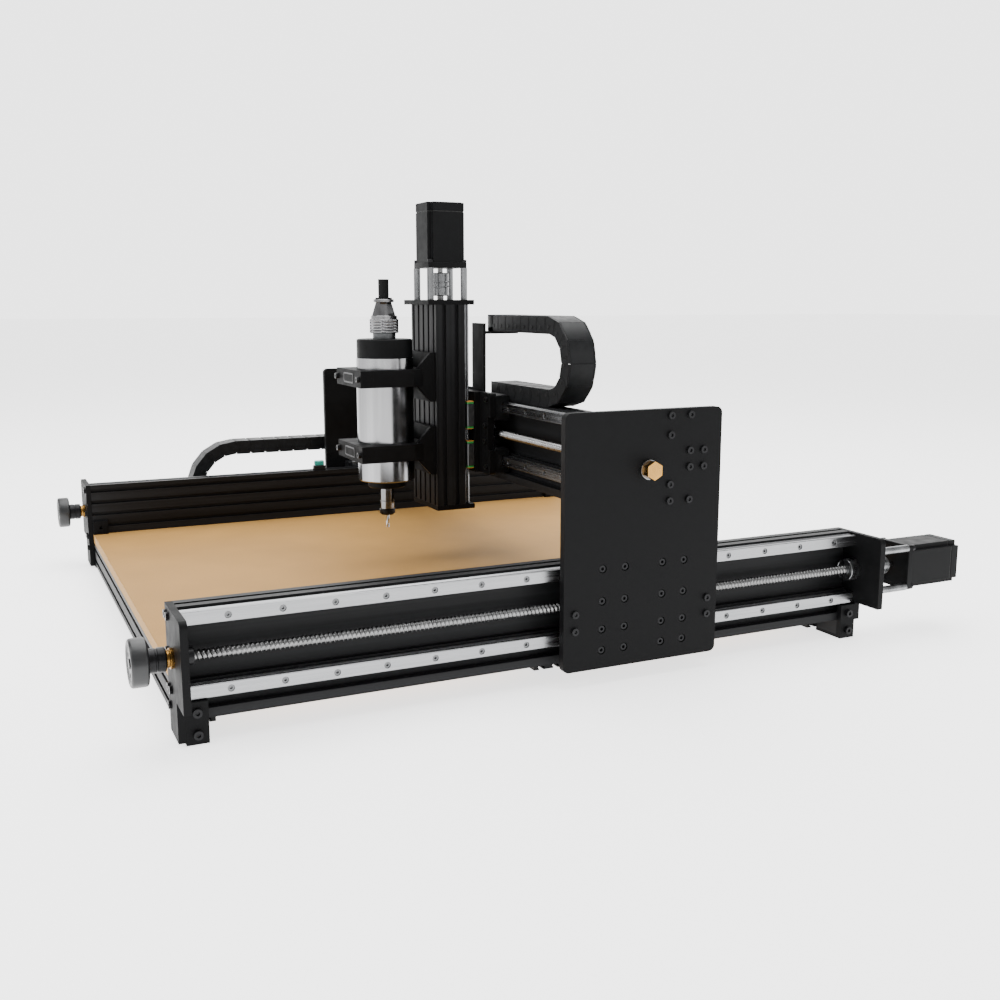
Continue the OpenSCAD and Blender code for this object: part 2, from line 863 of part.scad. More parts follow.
// tongue between the upper X blocks, post above them and shelf over the chain's end
module chain_bracket() {
    w = bracket_x[1] - bracket_x[0];
    near = carriage_y + carriage_t;
    seat = x_bend_z + x_bend - chain_h / 2;
    tongue = carriage_w / 2 - 5 - block_l - 1.5;
    z0 = carriage_z + carriage_h - 26;
    z1 = x_beam_z + rail_high + block_w / 2 + 1;
    color("#2a2b2e") {
        translate([-tongue, near, z0]) cube([2 * tongue, bracket_t, z1 + 6 - z0]);
        translate([bracket_x[0], near, z1]) cube([w, bracket_t, seat + chain_h / 2 - z1]);
        translate([bracket_x[0], near, seat - bracket_t])
            cube([w / 2, x_chain_y + chain_w - near, bracket_t]);
    }
}

module carriage_bolts() {
    color("#111214") {
        for (x = [-1, 1])
            for (z = [10, carriage_h / 2 - 12, carriage_h / 2 + 12, carriage_h - 10])
                translate([x * (carriage_w / 2 - (z > 20 && z < carriage_h - 20 ? 16 : 12)),
                           carriage_y, carriage_z + z]) rotate([90, 0, 0]) cap_head(8.5, 3);
    }
}

// ---------- head ----------

module column_section() {
    difference() {
        translate([-column_w / 2, 0]) square([column_w, column_d]);
        translate([-z_channel / 2, z_web]) square([z_channel, column_d]);
        for (x = [-2 : 2])
            translate([x * cell, 0]) rotate(-90) slot_cut();
        for (s = [-1, 1])
            for (y = [13, 33])
                translate([s * column_w / 2, y]) mirror([s < 0 ? 1 : 0, 0]) slot_cut();
    }
}

module z_column() {
    color("#1f2023") translate([0, column_y, column_z]) linear_extrude(column_h)
        column_section();
}

module z_rails() {
    color("silver") for (x = [-z_rail_x, z_rail_x])
        translate([x, column_back, column_z]) rail(z_rail_w, z_rail_h, column_h);
}

module z_end_plates() {
    depth = z_plate_y - column_y - 0.5;
    color("#232427") {
        translate([0, column_y, z_top_z]) linear_extrude(z_end_t) difference() {
            translate([-column_w / 2, -12]) square([column_w, depth + 12]);
            translate([0, z_screw_y - column_y]) circle(d = journal_d + 2 * run_gap);
        }
        translate([0, column_y, column_z - z_end_t]) linear_extrude(z_end_t) difference() {
            translate([-column_w / 2, 0]) square([column_w, depth]);
            translate([0, z_screw_y - column_y]) circle(d = journal_d + 2 * run_gap);
        }
    }
}

module z_standoffs() {
    color("silver") translate([0, z_screw_y, z_top_z + z_end_t]) standoffs(z_standoff_l);
}

module z_motor() {
    color("#1b1c1f") translate([0, z_screw_y, z_motor_z]) stepper(motor_w, motor_l);
}

// clamp's outline in X-Y, from its front face to the column
module clamp_outline() {
    w = clamp_w / 2;
    back = spindle_y + spindle_r;
    polygon([[-w, clamp_front], [w, clamp_front], [w, back - 18], [clamp_n, back],
             [clamp_n, column_y], [-clamp_n, column_y], [-clamp_n, back],
             [-w, back - 18]]);
}

module clamp_bodies() {
    color("#33353a") for (z = clamp_z) {
        translate([0, 0, z]) linear_extrude(clamp_h) difference() {
            clamp_outline();
            translate([0, spindle_y]) circle(r = spindle_r + clamp_gap);
            translate([-clamp_w, clamp_front - 1])
                square([2 * clamp_w, clamp_split - clamp_front + 1]);
        }
        translate([-clamp_n, column_y - clamp_flange, z - clamp_reach])
            cube([2 * clamp_n, clamp_flange, clamp_h + 2 * clamp_reach]);
        for (x = [-clamp_n, clamp_n - gusset_t])
            translate([x, column_y - clamp_flange, z]) rotate([90, 0, 90])
                linear_extrude(gusset_t)
                    polygon([[0, -clamp_reach], [0, clamp_h + clamp_reach],
                             [-gusset_l, clamp_h], [-gusset_l, 0]]);
    }
}

module clamp_caps() {
    color("#33353a") for (z = clamp_z)
        translate([0, 0, z]) linear_extrude(clamp_h) difference() {
            translate([-clamp_w / 2, clamp_front]) square([clamp_w, clamp_split - clamp_front]);
            translate([0, spindle_y]) circle(r = spindle_r + clamp_gap);
        }
}

module clamp_bolts() {
    color("#111214") for (z = clamp_z)
        for (x = [-1, 1])
            translate([x * (clamp_w / 2 - 7), clamp_front, z + clamp_h / 2])
                rotate([90, 0, 0]) cap_head(8.5, 5);
}

module spindle_body() {
    r = spindle_r;
    color("#1e1f22") translate([0, spindle_y, spindle_z]) difference() {
        union() {
            cylinder(r = r, h = spindle_l);
            translate([0, 0, spindle_l]) cylinder(r = r - 1, h = spindle_cap - 4);
            translate([0, 0, spindle_l + spindle_cap - 4])
                cylinder(r1 = r - 1, r2 = r - 5, h = 4);
            translate([0, 0, nose_top - spindle_z]) cylinder(r = r - 14, h = 12);
        }
        translate([0, 0, nose_top - spindle_z - 1])
            cylinder(d = nose_d + 2 * run_gap, h = 24);
    }
}

module spindle_connector() {
    color("silver") translate([0, spindle_y, conn_z]) {
        cylinder(d = 34, h = 8.5);
        translate([0, 0, 8.5]) cylinder(d = 43, h = 24.5);
        translate([0, 0, 33]) cylinder(d1 = 38, d2 = 20, h = 22);
        translate([0, 0, 55]) cylinder(d = 16, h = 32);
    }
}

module z_screw() {
    top = z_top_z + z_end_t;
    color("silver") translate([0, z_screw_y, 0]) {
        translate([0, 0, column_z - z_end_t]) cylinder(d = journal_d, h = z_end_t + 2);
        translate([0, 0, column_z + 2]) cylinder(d = screw_d, h = column_h - 4);
        translate([0, 0, z_top_z - 2]) cylinder(d = journal_d, h = z_end_t + 12);
        translate([0, 0, top + 6]) cylinder(d = coupling_d, h = coupling_l);
        translate([0, 0, top + 6 + coupling_l])
            cylinder(d = shaft_d, h = z_standoff_l - coupling_l + 10);
    }
}

module collet_nut() {
    color("#3a3c40") translate([0, spindle_y, 0]) difference() {
        union() {
            translate([0, 0, collet_top]) cylinder(d = nose_d, h = nose_top + 14 - collet_top);
            translate([0, 0, collet_top - collet_h]) cylinder(d = collet_d, h = collet_h);
        }
        translate([0, 0, collet_top - collet_h - 1]) cylinder(d = mill_d, h = collet_h + 21);
    }
}

module end_mill() {
    top = collet_top + 20;
    flute = 22;
    color("#c9ccd0") translate([0, spindle_y, mill_tip]) difference() {
        cylinder(d = mill_d, h = top - mill_tip);
        for (a = [0, 180])
            rotate(a) translate([0.6, 0.4, -1]) cube([mill_d, mill_d, flute]);
    }
}

// ---------- cable chains ----------

module x_chain_loop() {
    color("#2f3133") translate([x_loop_x, x_chain_y + chain_w, x_bend_z])
        rotate([90, 0, 0]) linear_extrude(chain_w) chain_bend(x_bend);
}

module x_chain_upper() {
    color("#2f3133") translate([x_moving_x + link_gap, x_chain_y, x_bend_z + x_bend - chain_h / 2])
        cube([x_loop_x - x_moving_x - 2 * link_gap, chain_w, chain_h - link_gap]);
}

module x_chain_end() {
    color("#2f3133") translate([x_moving_x - x_end_l, x_chain_y, x_bend_z + x_bend - chain_h / 2])
        cube([x_end_l, chain_w, chain_h]);
}

module y_chain_loop() {
    color("#2f3133") {
        translate([y_chain_x, y_loop_y, y_bend_z]) rotate([90, 0, 90])
            linear_extrude(chain_w) mirror([1, 0]) chain_bend(y_bend);
    }
}

module y_chain_end() {
    z0 = y_chain_top - chain_h;
    color("#2f3133") {
        translate([y_chain_x, y_moving_y, z0]) cube([chain_w, y_end_l, chain_h]);
        translate([y_chain_x + chain_w, y_moving_y, z0])
            cube([-outer_x - y_chain_x - chain_w, y_end_l, 4]);
    }
}

module y_chain_upper() {
    color("#2f3133") translate([y_chain_x, y_loop_y + link_gap, y_chain_top - chain_h])
        cube([chain_w, y_moving_y - y_loop_y - 2 * link_gap, chain_h - link_gap]);
}

module at_home() {
    translate(home) children();
}

at_home() y_beams();
at_home() y_rails();
at_home() y_rail_bolts();
at_home() end_plates();
at_home() frame_bolts();
at_home() bearers();
at_home() spoilboard();
at_home() corner_brackets();
at_home() screw_bearings();
at_home() y_motors();
at_home() y_standoffs();
at_home() y_chain_tray();
at_home() y_chain_lower();
at_home() home_switch();
at_home() right_y_screw();
at_home() right_handwheel();
at_home() left_y_screw();
at_home() left_handwheel();
at_home() right_gantry_plate();
at_home() left_gantry_plate();
at_home() x_beam();
at_home() rear_stiffener();
at_home() x_rails();
at_home() x_rail_bolts();
at_home() y_blocks();
at_home() y_nut_brackets();
at_home() gantry_bolts();
at_home() x_bearings();
at_home() x_motor();
at_home() x_standoffs();
at_home() x_chain_lower();
at_home() x_screw();
at_home() x_end_nut();
at_home() carriage_plate();
at_home() z_back_plate();
at_home() x_blocks();
at_home() x_nut_bracket();
at_home() z_blocks();
at_home() z_nut_bracket();
at_home() chain_bracket();
at_home() carriage_bolts();
at_home() z_column();
at_home() z_rails();
at_home() z_end_plates();
at_home() z_motor();
at_home() z_standoffs();
at_home() clamp_bodies();
at_home() clamp_caps();
at_home() clamp_bolts();
at_home() spindle_body();
at_home() spindle_connector();
at_home() z_screw();
at_home() collet_nut();
at_home() end_mill();
at_home() x_chain_loop();
at_home() x_chain_upper();
at_home() x_chain_end();
at_home() y_chain_loop();
at_home() y_chain_upper();
at_home() y_chain_end();
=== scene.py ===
"""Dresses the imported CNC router: threads, chains, motors, blocks, spindle and every finish."""
import math

import bpy
import bmesh
import numpy as np
from bpy.props import FloatProperty, FloatVectorProperty, IntProperty, PointerProperty
from bpy.types import Operator, Panel, PropertyGroup
from mathutils import Euler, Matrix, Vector


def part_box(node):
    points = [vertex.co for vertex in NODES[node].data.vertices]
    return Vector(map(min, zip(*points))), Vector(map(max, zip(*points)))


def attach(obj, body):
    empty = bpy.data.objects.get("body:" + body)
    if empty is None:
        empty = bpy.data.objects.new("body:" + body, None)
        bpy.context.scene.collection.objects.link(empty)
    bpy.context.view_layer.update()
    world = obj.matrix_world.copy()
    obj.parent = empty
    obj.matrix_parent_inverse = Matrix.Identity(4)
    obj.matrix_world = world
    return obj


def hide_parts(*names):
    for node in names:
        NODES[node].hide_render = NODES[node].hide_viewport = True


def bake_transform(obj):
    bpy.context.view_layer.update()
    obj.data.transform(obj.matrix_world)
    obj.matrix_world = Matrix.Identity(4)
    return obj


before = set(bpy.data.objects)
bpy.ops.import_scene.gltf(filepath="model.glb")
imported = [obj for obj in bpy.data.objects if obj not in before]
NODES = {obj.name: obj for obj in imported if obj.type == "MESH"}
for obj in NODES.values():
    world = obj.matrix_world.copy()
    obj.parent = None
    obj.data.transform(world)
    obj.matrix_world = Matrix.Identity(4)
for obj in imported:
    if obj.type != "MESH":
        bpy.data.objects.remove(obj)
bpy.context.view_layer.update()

bl_info = {
    "name": "Gantry Router Dresser",
    "version": (1, 0, 0),
    "blender": (4, 5, 0),
    "location": "View3D > Sidebar > Router",
    "description": "Builds the detailed pieces and finishes of a gantry router around its frame",
    "category": "Object",
}

TAU = 2 * math.pi


def corners(node):
    """Lowest and highest corner of a CAD node as two arrays, in metres."""
    low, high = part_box(node)
    return np.array(low), np.array(high)


def centre(node):
    """Middle of a CAD node's box."""
    low, high = corners(node)
    return (low + high) / 2


# ---------- surfaces ----------

X_AXIS = np.array([1.0, 0, 0])
Y_AXIS = np.array([0, 1.0, 0])
Z_AXIS = np.array([0, 0, 1.0])


def frame_at(origin, along, side):
    """Place for local shapes: local z runs along `along`, local x along `side`."""
    along = np.asarray(along, float)
    side = np.asarray(side, float)
    return np.asarray(origin, float), np.array([side, np.cross(along, side), along])


class Form:
    """Vertices and faces gathered as whole arrays, with one material number for each face."""

    def __init__(self):
        self.points = []
        self.loops = []
        self.sizes = []
        self.mats = []
        self.count = 0

    def faces(self, table, mat):
        """Adds a table of faces, one face in each row."""
        self.loops.append(table.ravel())
        self.sizes.append(np.full(len(table), table.shape[1]))
        self.mats.append(np.full(len(table), mat))

    def grid(self, p, place, mat=0, wrap_u=False, wrap_v=False, caps=False):
        """Joins the points p[u, v] to quads. wrap_u and wrap_v close a direction, and caps closes
        the first and last row of u with one flat face each."""
        nu, nv = p.shape[:2]
        origin, axes = place
        self.points.append((p @ axes + origin).reshape(-1, 3))
        idx = np.arange(nu * nv).reshape(nu, nv) + self.count
        self.count += nu * nv
        u = np.arange(nu if wrap_u else nu - 1)
        v = np.arange(nv if wrap_v else nv - 1)
        a, b = idx[u], idx[(u + 1) % nu]
        w = (v + 1) % nv
        quads = np.stack([a[:, v], b[:, v], b[:, w], a[:, w]], -1).reshape(-1, 4)
        self.faces(quads, mat)
        if caps:
            self.faces(idx[:1, ::-1], mat)
            self.faces(idx[-1:], mat)
        return self

    def revolve(self, profile, place, n=48, mat=0, wave=None, ring=False):
        """Turned part: a profile of (place on the axis, radius) carried round the axis. wave adds
        wave(s, angle) to the radius. ring joins the profile's last point to its first."""
        profile = np.asarray(profile, float)
        angle = np.linspace(0, TAU, n, endpoint=False)[None, :]
        s = profile[:, :1]
        r = profile[:, 1:] + (wave(s, angle) if wave else 0 * angle)
        p = np.stack([r * np.cos(angle), r * np.sin(angle), s + 0 * angle], -1)
        return self.grid(p, place, mat, wrap_u=ring, wrap_v=True, caps=not ring)

    def prism(self, outline, z0, z1, place, mat=0, ease=0.0):
        """Straight part: a closed outline carried along local z, with its end edges eased by an
        inset ring at each end."""
        outline = np.asarray(outline, float)
        small = inset(outline, ease)
        levels = [(small, z0), (outline, z0 + ease), (outline, z1 - ease), (small, z1)]
        if ease == 0:
            levels = [levels[0], levels[-1]]
        p = np.stack([np.column_stack([o, np.full(len(o), z)]) for o, z in levels])
        return self.grid(p, place, mat, wrap_v=True, caps=True)

    def block(self, low, high, mat=0, ease=0.0, place=None):
        """Box with eased edges between two corners."""
        low, high = np.asarray(low, float), np.asarray(high, float)
        size = high - low
        outline = rounded(size[0], size[1], ease, 2) + (low + high)[:2] / 2
        return self.prism(outline, low[2], high[2], place or WORLD, mat, ease)

    def arrays(self):
        """All points, face corners, face sizes and material numbers."""
        return (np.concatenate(self.points), np.concatenate(self.loops),
                np.concatenate(self.sizes), np.concatenate(self.mats))

    def copies(self, other, origins, axes):
        """Repeats another form at many places: every point times each place's axes plus its
        origin, as one product of arrays."""
        points, loops, sizes, mats = other.arrays()
        many = np.einsum("vi,kij->kvj", points, axes) + origins[:, None, :]
        k, n = many.shape[:2]
        shift = (np.arange(k) * n)[:, None] + self.count
        self.points.append(many.reshape(-1, 3))
        self.loops.append((loops[None, :] + shift).ravel())
        self.sizes.append(np.tile(sizes, k))
        self.mats.append(np.tile(mats, k))
        self.count += k * n
        return self


WORLD = frame_at((0, 0, 0), Z_AXIS, X_AXIS)

# radii of the turned pieces and sizes of the rails and their blocks, in metres
SCREW_R = 0.006
JOURNAL_R = 0.005
MOTOR_SHAFT_R = 0.004
COUPLING_R = 0.0125
BORE_R = 0.0051
RAIL_W = 0.015
RAIL_H = 0.015
Z_RAIL_H = 0.010
ON_RAIL = (0.004, RAIL_W)       # a block's lowest edge over the rail's base, the rail's width
WIDE_BLOCK = (0.038, 0.028)     # width and height of an X or Y block
LOW_BLOCK = (0.032, 0.016)      # width and height of a Z block
SPINDLE_R = 0.0425
SPINDLE_BORE_R = 0.0108


def inset(outline, d):
    """Moves each corner of an anticlockwise outline inwards by d, along the mean of its two
    edges' normals divided by one plus their product."""
    edge = np.roll(outline, -1, axis=0) - outline
    length = np.maximum(np.linalg.norm(edge, axis=1, keepdims=True), 1e-9)
    normal = np.column_stack([edge[:, 1], -edge[:, 0]]) / length
    before = np.roll(normal, 1, axis=0)
    share = 1 + np.sum(normal * before, axis=1, keepdims=True)
    return outline - d * (normal + before) / np.maximum(share, 0.3)


def rounded(w, h, r, n=4):
    """Rectangle about the origin whose corners are quarter circles of n steps."""
    r = max(min(r, w / 2 - 1e-6, h / 2 - 1e-6), 1e-6)
    t = np.linspace(0, math.pi / 2, n + 1)
    quarter = np.arange(4)[:, None] * math.pi / 2
    cx = np.array([1, -1, -1, 1])[:, None] * (w / 2 - r)
    cy = np.array([1, 1, -1, -1])[:, None] * (h / 2 - r)
    return np.stack([cx + r * np.cos(t + quarter), cy + r * np.sin(t + quarter)], -1).reshape(-1, 2)


def piece(form, name, finishes, body, nodes, sharp=35):
    """Writes a form into a mesh object, with its materials, the nodes it replaces and its body, which
    it joins only when the body is a name; a body given as a tuple is not used.
    """
    points, loops, sizes, mats = form.arrays()
    mesh = bpy.data.meshes.new(name)
    mesh.vertices.add(len(points))
    mesh.vertices.foreach_set("co", points.astype(np.float32).ravel())
    mesh.loops.add(len(loops))
    mesh.loops.foreach_set("vertex_index", loops.astype(np.int32))
    mesh.polygons.add(len(sizes))
    mesh.polygons.foreach_set("loop_start", (np.cumsum(sizes) - sizes).astype(np.int32))
    mesh.polygons.foreach_set("material_index", mats.astype(np.int32))
    mesh.update(calc_edges=True)
    mesh.validate()
    shell = bmesh.new()
    shell.from_mesh(mesh)
    bmesh.ops.recalc_face_normals(shell, faces=shell.faces)
    shell.to_mesh(mesh)
    shell.free()
    mesh.shade_smooth()
    mesh.set_sharp_from_angle(angle=math.radians(sharp))
    for finish in finishes:
        mesh.materials.append(finish)
    obj = bpy.data.objects.new(name, mesh)
    bpy.context.scene.collection.objects.link(obj)
    if isinstance(body, str):
        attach(obj, body)
    else:
        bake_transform(obj)
    if nodes:
        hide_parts(*nodes)
    return obj


# ---------- finishes ----------

def shader(name, colour, metallic, roughness):
    """New material with its principled shader's plain values set."""
    mat = bpy.data.materials.new(name)
    mat.use_nodes = True
    bsdf = mat.node_tree.nodes["Principled BSDF"]
    bsdf.inputs["Base Color"].default_value = (*colour, 1)
    bsdf.inputs["Metallic"].default_value = metallic
    bsdf.inputs["Roughness"].default_value = roughness
    return mat, mat.node_tree, bsdf


def noise(tree, stretch, scale, detail=4.0):
    """Noise on Object coordinates, stretched along an axis by a small factor on that axis."""
    coord = tree.nodes.new("ShaderNodeTexCoord")
    mapping = tree.nodes.new("ShaderNodeMapping")
    mapping.inputs["Scale"].default_value = stretch
    cloud = tree.nodes.new("ShaderNodeTexNoise")
    cloud.inputs["Scale"].default_value = scale
    cloud.inputs["Detail"].default_value = detail
    tree.links.new(coord.outputs["Object"], mapping.inputs["Vector"])
    tree.links.new(mapping.outputs["Vector"], cloud.inputs["Vector"])
    return cloud.outputs["Fac"]


def spread(tree, source, low, high):
    """Maps a pattern's middle range on to low..high."""
    node = tree.nodes.new("ShaderNodeMapRange")
    node.inputs["From Min"].default_value = 0.3
    node.inputs["From Max"].default_value = 0.7
    node.inputs["To Min"].default_value = low
    node.inputs["To Max"].default_value = high
    tree.links.new(source, node.inputs["Value"])
    return node.outputs["Result"]


def tinted(tree, source, dark, light):
    """Colour that runs from dark to light with a pattern."""
    ramp = tree.nodes.new("ShaderNodeValToRGB")
    ramp.color_ramp.elements[0].position = 0.32
    ramp.color_ramp.elements[0].color = (*dark, 1)
    ramp.color_ramp.elements[1].position = 0.68
    ramp.color_ramp.elements[1].color = (*light, 1)
    tree.links.new(source, ramp.inputs["Fac"])
    return ramp.outputs["Color"]


def bump(tree, bsdf, source, strength, distance, edge=0.0):
    """Bump from a pattern; edge rounds sharp edges in the shading by that radius."""
    node = tree.nodes.new("ShaderNodeBump")
    node.inputs["Strength"].default_value = strength
    node.inputs["Distance"].default_value = distance
    tree.links.new(source, node.inputs["Height"])
    if edge:
        soft = tree.nodes.new("ShaderNodeBevel")
        soft.samples = 4
        soft.inputs["Radius"].default_value = edge
        tree.links.new(soft.outputs["Normal"], node.inputs["Normal"])
    tree.links.new(node.outputs["Normal"], bsdf.inputs["Normal"])


def scaled(colour, k):
    """A colour times k."""
    return tuple(min(1.0, c * k) for c in colour)


def grained(name, colour, metallic, rough, stretch=(1, 1, 1), scale=300.0, tint=0.25,
            fine=1200.0, strength=0.12, distance=0.0002, edge=0.0005, shine=0.5):
    """Finish with a colour and gloss that vary along one grain and a fine bump across it; on the
    spindle shell the grain's broad streaks are painted reflections. shine is the strength of a
    dielectric's mirror part."""
    mat, tree, bsdf = shader(name, colour, metallic, rough[1])
    bsdf.inputs["Specular IOR Level"].default_value = shine
    grain = noise(tree, stretch, scale)
    colour_out = tinted(tree, grain, scaled(colour, 1 - tint), scaled(colour, 1 + tint))
    tree.links.new(colour_out, bsdf.inputs["Base Color"])
    tree.links.new(spread(tree, grain, rough[0], rough[1]), bsdf.inputs["Roughness"])
    bump(tree, bsdf, noise(tree, stretch, fine, 2.0), strength, distance, edge)
    return mat


def along(axis, k=0.03):
    """Stretch that draws a pattern out along one axis."""
    return tuple(k if i == axis else 1.0 for i in range(3))


FINISHES = {}


def finish(name):
    """A finish by name, made once."""
    if name not in FINISHES:
        if name in GRAINED:
            FINISHES[name] = grained(name, *GRAINED[name])
        else:
            make, *arguments = MADE[name]
            FINISHES[name] = make(*arguments)
    return FINISHES[name]


def finishes_of(*names):
    """Finishes by name, in the order of a piece's material numbers."""
    return [finish(name) for name in names]


def anodised(axis):
    """Black anodised extrusion with fine die lines along one axis."""
    colour = tuple(bpy.context.scene.router_look.black)
    return grained("anodised_%s" % "xyz"[axis], colour, 0.0, (0.42, 0.55), along(axis, 0.01),
                   160.0, 0.35, 900.0, 0.15, 0.0002, 0.0005, 0.12)


def powder_coat():
    """Black powder coat: a fine orange-peel bump and a faint mottle."""
    colour = tuple(bpy.context.scene.router_look.coat)
    return grained("powder_coat", colour, 0.0, (0.5, 0.62), (1, 1, 1), 60.0, 0.18, 1500.0,
                   0.2, 0.0002, 0.0008, 0.08)


def ground_rail(axis):
    """Ground steel rail, polished along its length."""
    return grained("ground_rail_%s" % "xyz"[axis], (0.27, 0.273, 0.28), 1.0, (0.2, 0.34),
                   along(axis, 0.02), 220.0, 0.12, 700.0, 0.08, 0.0001)


def board_finish():
    """Fibreboard: a close speckle of fibres over broad, soft patches."""
    base = tuple(bpy.context.scene.router_look.board)
    mat, tree, bsdf = shader("fibreboard", base, 0.0, 0.6)
    bsdf.inputs["Specular IOR Level"].default_value = 0.12
    broad = tinted(tree, noise(tree, (1, 1, 1), 9.0, 3.0), scaled(base, 0.93), scaled(base, 1.06))
    fibres = tinted(tree, noise(tree, (1, 1, 1), 520.0, 6.0), (0.72, 0.68, 0.62), (1, 1, 1))
    mix = tree.nodes.new("ShaderNodeMix")
    mix.data_type = "RGBA"
    mix.blend_type = "MULTIPLY"
    mix.inputs["Factor"].default_value = 0.55
    tree.links.new(broad, mix.inputs["A"])
    tree.links.new(fibres, mix.inputs["B"])
    tree.links.new(mix.outputs["Result"], bsdf.inputs["Base Color"])
    bump(tree, bsdf, noise(tree, (1, 1, 1), 900.0, 4.0), 0.2, 0.0002, 0.001)
    return mat


EVEN = (1, 1, 1)

# plain grained finishes, with the values in grained()'s order; the ones left out at the end
# keep its defaults
GRAINED = {
    "thread_steel": ((0.2, 0.2, 0.2), 1.0, (0.2, 0.36), EVEN, 90.0, 0.15, 900.0, 0.05, 0.0001, 0.0),
    "turned_aluminium": ((0.2, 0.203, 0.207), 1.0, (0.22, 0.34), (1, 1, 0.1), 110.0, 0.3, 1100.0,
                         0.1, 0.0001, 0.0003),
    "bracket_aluminium": ((0.52, 0.53, 0.55), 1.0, (0.3, 0.45), EVEN, 140.0, 0.12),
    "wheel_grey": ((0.012, 0.0124, 0.013), 0.1, (0.32, 0.44), (1, 0.1, 1), 260.0, 0.2, 1000.0,
                   0.12, 0.0001, 0.0003),
    "brass": ((0.42, 0.225, 0.06), 1.0, (0.2, 0.36), EVEN, 120.0, 0.14, 900.0, 0.08, 0.0001, 0.0003),
    "black_oxide": ((0.01, 0.01, 0.011), 0.5, (0.28, 0.42), EVEN, 300.0, 0.3, 1400.0, 0.12,
                    0.0001, 0.0003, 0.25),
    "bolt_steel": ((0.13, 0.132, 0.135), 1.0, (0.22, 0.36), EVEN, 260.0, 0.12, 1000.0, 0.1,
                   0.0001, 0.0003),
    "motor_enamel": ((0.004, 0.0042, 0.0045), 0.0, (0.42, 0.55), EVEN, 80.0, 0.25, 1300.0, 0.15,
                     0.0002, 0.0006, 0.08),
    "chain_nylon": ((0.008, 0.0084, 0.009), 0.0, (0.36, 0.5), EVEN, 120.0, 0.25, 1800.0, 0.2,
                    0.00015, 0.0004, 0.14),
    "block_steel": ((0.1, 0.103, 0.106), 0.85, (0.3, 0.42), EVEN, 160.0, 0.15, 900.0, 0.1,
                    0.0001, 0.0004),
    "seal_green": ((0.03, 0.29, 0.06), 0.0, (0.4, 0.55), EVEN, 200.0, 0.15, 1500.0, 0.1,
                   0.0001, 0.0),
    "scraper_orange": ((0.6, 0.24, 0.03), 0.0, (0.4, 0.55), EVEN, 200.0, 0.12, 1500.0, 0.1,
                       0.0001, 0.0),
    "teal_cap": ((0.02, 0.3, 0.26), 0.0, (0.35, 0.5), EVEN, 200.0, 0.12, 1500.0, 0.12,
                 0.0001, 0.0003),
    # spindle shell: its broad light and dark streaks along the axis stand for reflections of the room:
    # painted reflection
    "shell_steel_painted_reflection": ((0.27, 0.27, 0.275), 1.0, (0.14, 0.24), (1, 1, 0.02), 28.0, 0.45, 900.0,
                       0.05, 0.0001, 0.0),
    "nickel": ((0.22, 0.22, 0.225), 1.0, (0.14, 0.26), (1, 1, 0.05), 90.0, 0.35, 900.0, 0.05,
               0.0001, 0.0),
    "carbide": ((0.6, 0.61, 0.63), 1.0, (0.16, 0.28), (1, 1, 0.2), 400.0, 0.1, 900.0, 0.05,
                0.0001, 0.0),
    "rubber": ((0.006, 0.006, 0.006), 0.0, (0.6, 0.75), EVEN, 120.0, 0.2, 1400.0, 0.2,
               0.0002, 0.0, 0.1),
    # painted_hole_shade: near-black finish for flat discs and bands put where holes, pivots and
    # grooves are, standing for the shade inside them: painted shade
    "painted_hole_shade": ((0.004, 0.004, 0.004), 0.0, (0.6, 0.8), EVEN, 200.0, 0.2, 1000.0, 0.1,
                  0.0001, 0.0),
}

# finishes made by a function of their own, with its arguments
MADE = {
    "anodised_x": (anodised, 0),
    "anodised_y": (anodised, 1),
    "anodised_z": (anodised, 2),
    "powder_coat": (powder_coat,),
    "rail_x": (ground_rail, 0),
    "rail_y": (ground_rail, 1),
    "rail_z": (ground_rail, 2),
    "board": (board_finish,),
}

# finish of the CAD nodes that are shown as they are; y_chain_end has none of its own yet
NODE_FINISH = {
    "anodised_y": ("y_beams",),
    "anodised_x": ("bearers", "x_beam", "rear_stiffener"),
    "anodised_z": ("z_column",),
    "powder_coat": ("end_plates", "corner_brackets", "y_chain_tray", "right_gantry_plate",
                    "left_gantry_plate", "carriage_plate", "z_back_plate", "chain_bracket",
                    "z_end_plates", "clamp_bodies", "clamp_caps"),
    "rail_y": ("y_rails",),
    "rail_x": ("x_rails",),
    "rail_z": ("z_rails",),
    "board": ("spoilboard",),
    "brass": ("x_end_nut",),
    "black_oxide": ("frame_bolts", "gantry_bolts", "carriage_bolts", "clamp_bolts"),
    "bolt_steel": ("y_rail_bolts", "x_rail_bolts"),
    "bracket_aluminium": ("y_nut_brackets", "x_nut_bracket", "z_nut_bracket"),
    "turned_aluminium": ("y_standoffs", "x_standoffs", "z_standoffs", "x_bearings"),
}


# ---------- sizes that a user may change ----------

class RouterLook(PropertyGroup):
    """Colours of the machine's main finishes."""
    black: FloatVectorProperty(name="Anodised black", description="Colour of the extrusions",
                               default=(0.010, 0.0103, 0.011), subtype="COLOR", size=3)
    coat: FloatVectorProperty(name="Powder coat", description="Colour of the plates",
                              default=(0.004, 0.0041, 0.0044), subtype="COLOR", size=3)
    board: FloatVectorProperty(name="Board", description="Colour of the spoilboard",
                               default=(0.42, 0.232, 0.068), subtype="COLOR", size=3)


class RouterThread(PropertyGroup):
    """Ball screw thread."""
    pitch: FloatProperty(name="Pitch", description="Distance between neighbouring grooves",
                         default=0.005, unit="LENGTH")
    depth: FloatProperty(name="Depth", description="Depth of a groove", default=0.0012,
                         unit="LENGTH")
    sides: IntProperty(name="Sides", description="Steps round the screw", default=20)
    steps: IntProperty(name="Steps", description="Steps along one groove", default=7)


class RouterChain(PropertyGroup):
    """Cable chain links."""
    link: FloatProperty(name="Link", description="Wished length of a link", default=0.0265,
                        unit="LENGTH")
    wall: FloatProperty(name="Wall", description="Thickness of a side plate", default=0.0024,
                        unit="LENGTH")
    lid: FloatProperty(name="Lid", description="Thickness of a lid", default=0.0026,
                       unit="LENGTH")


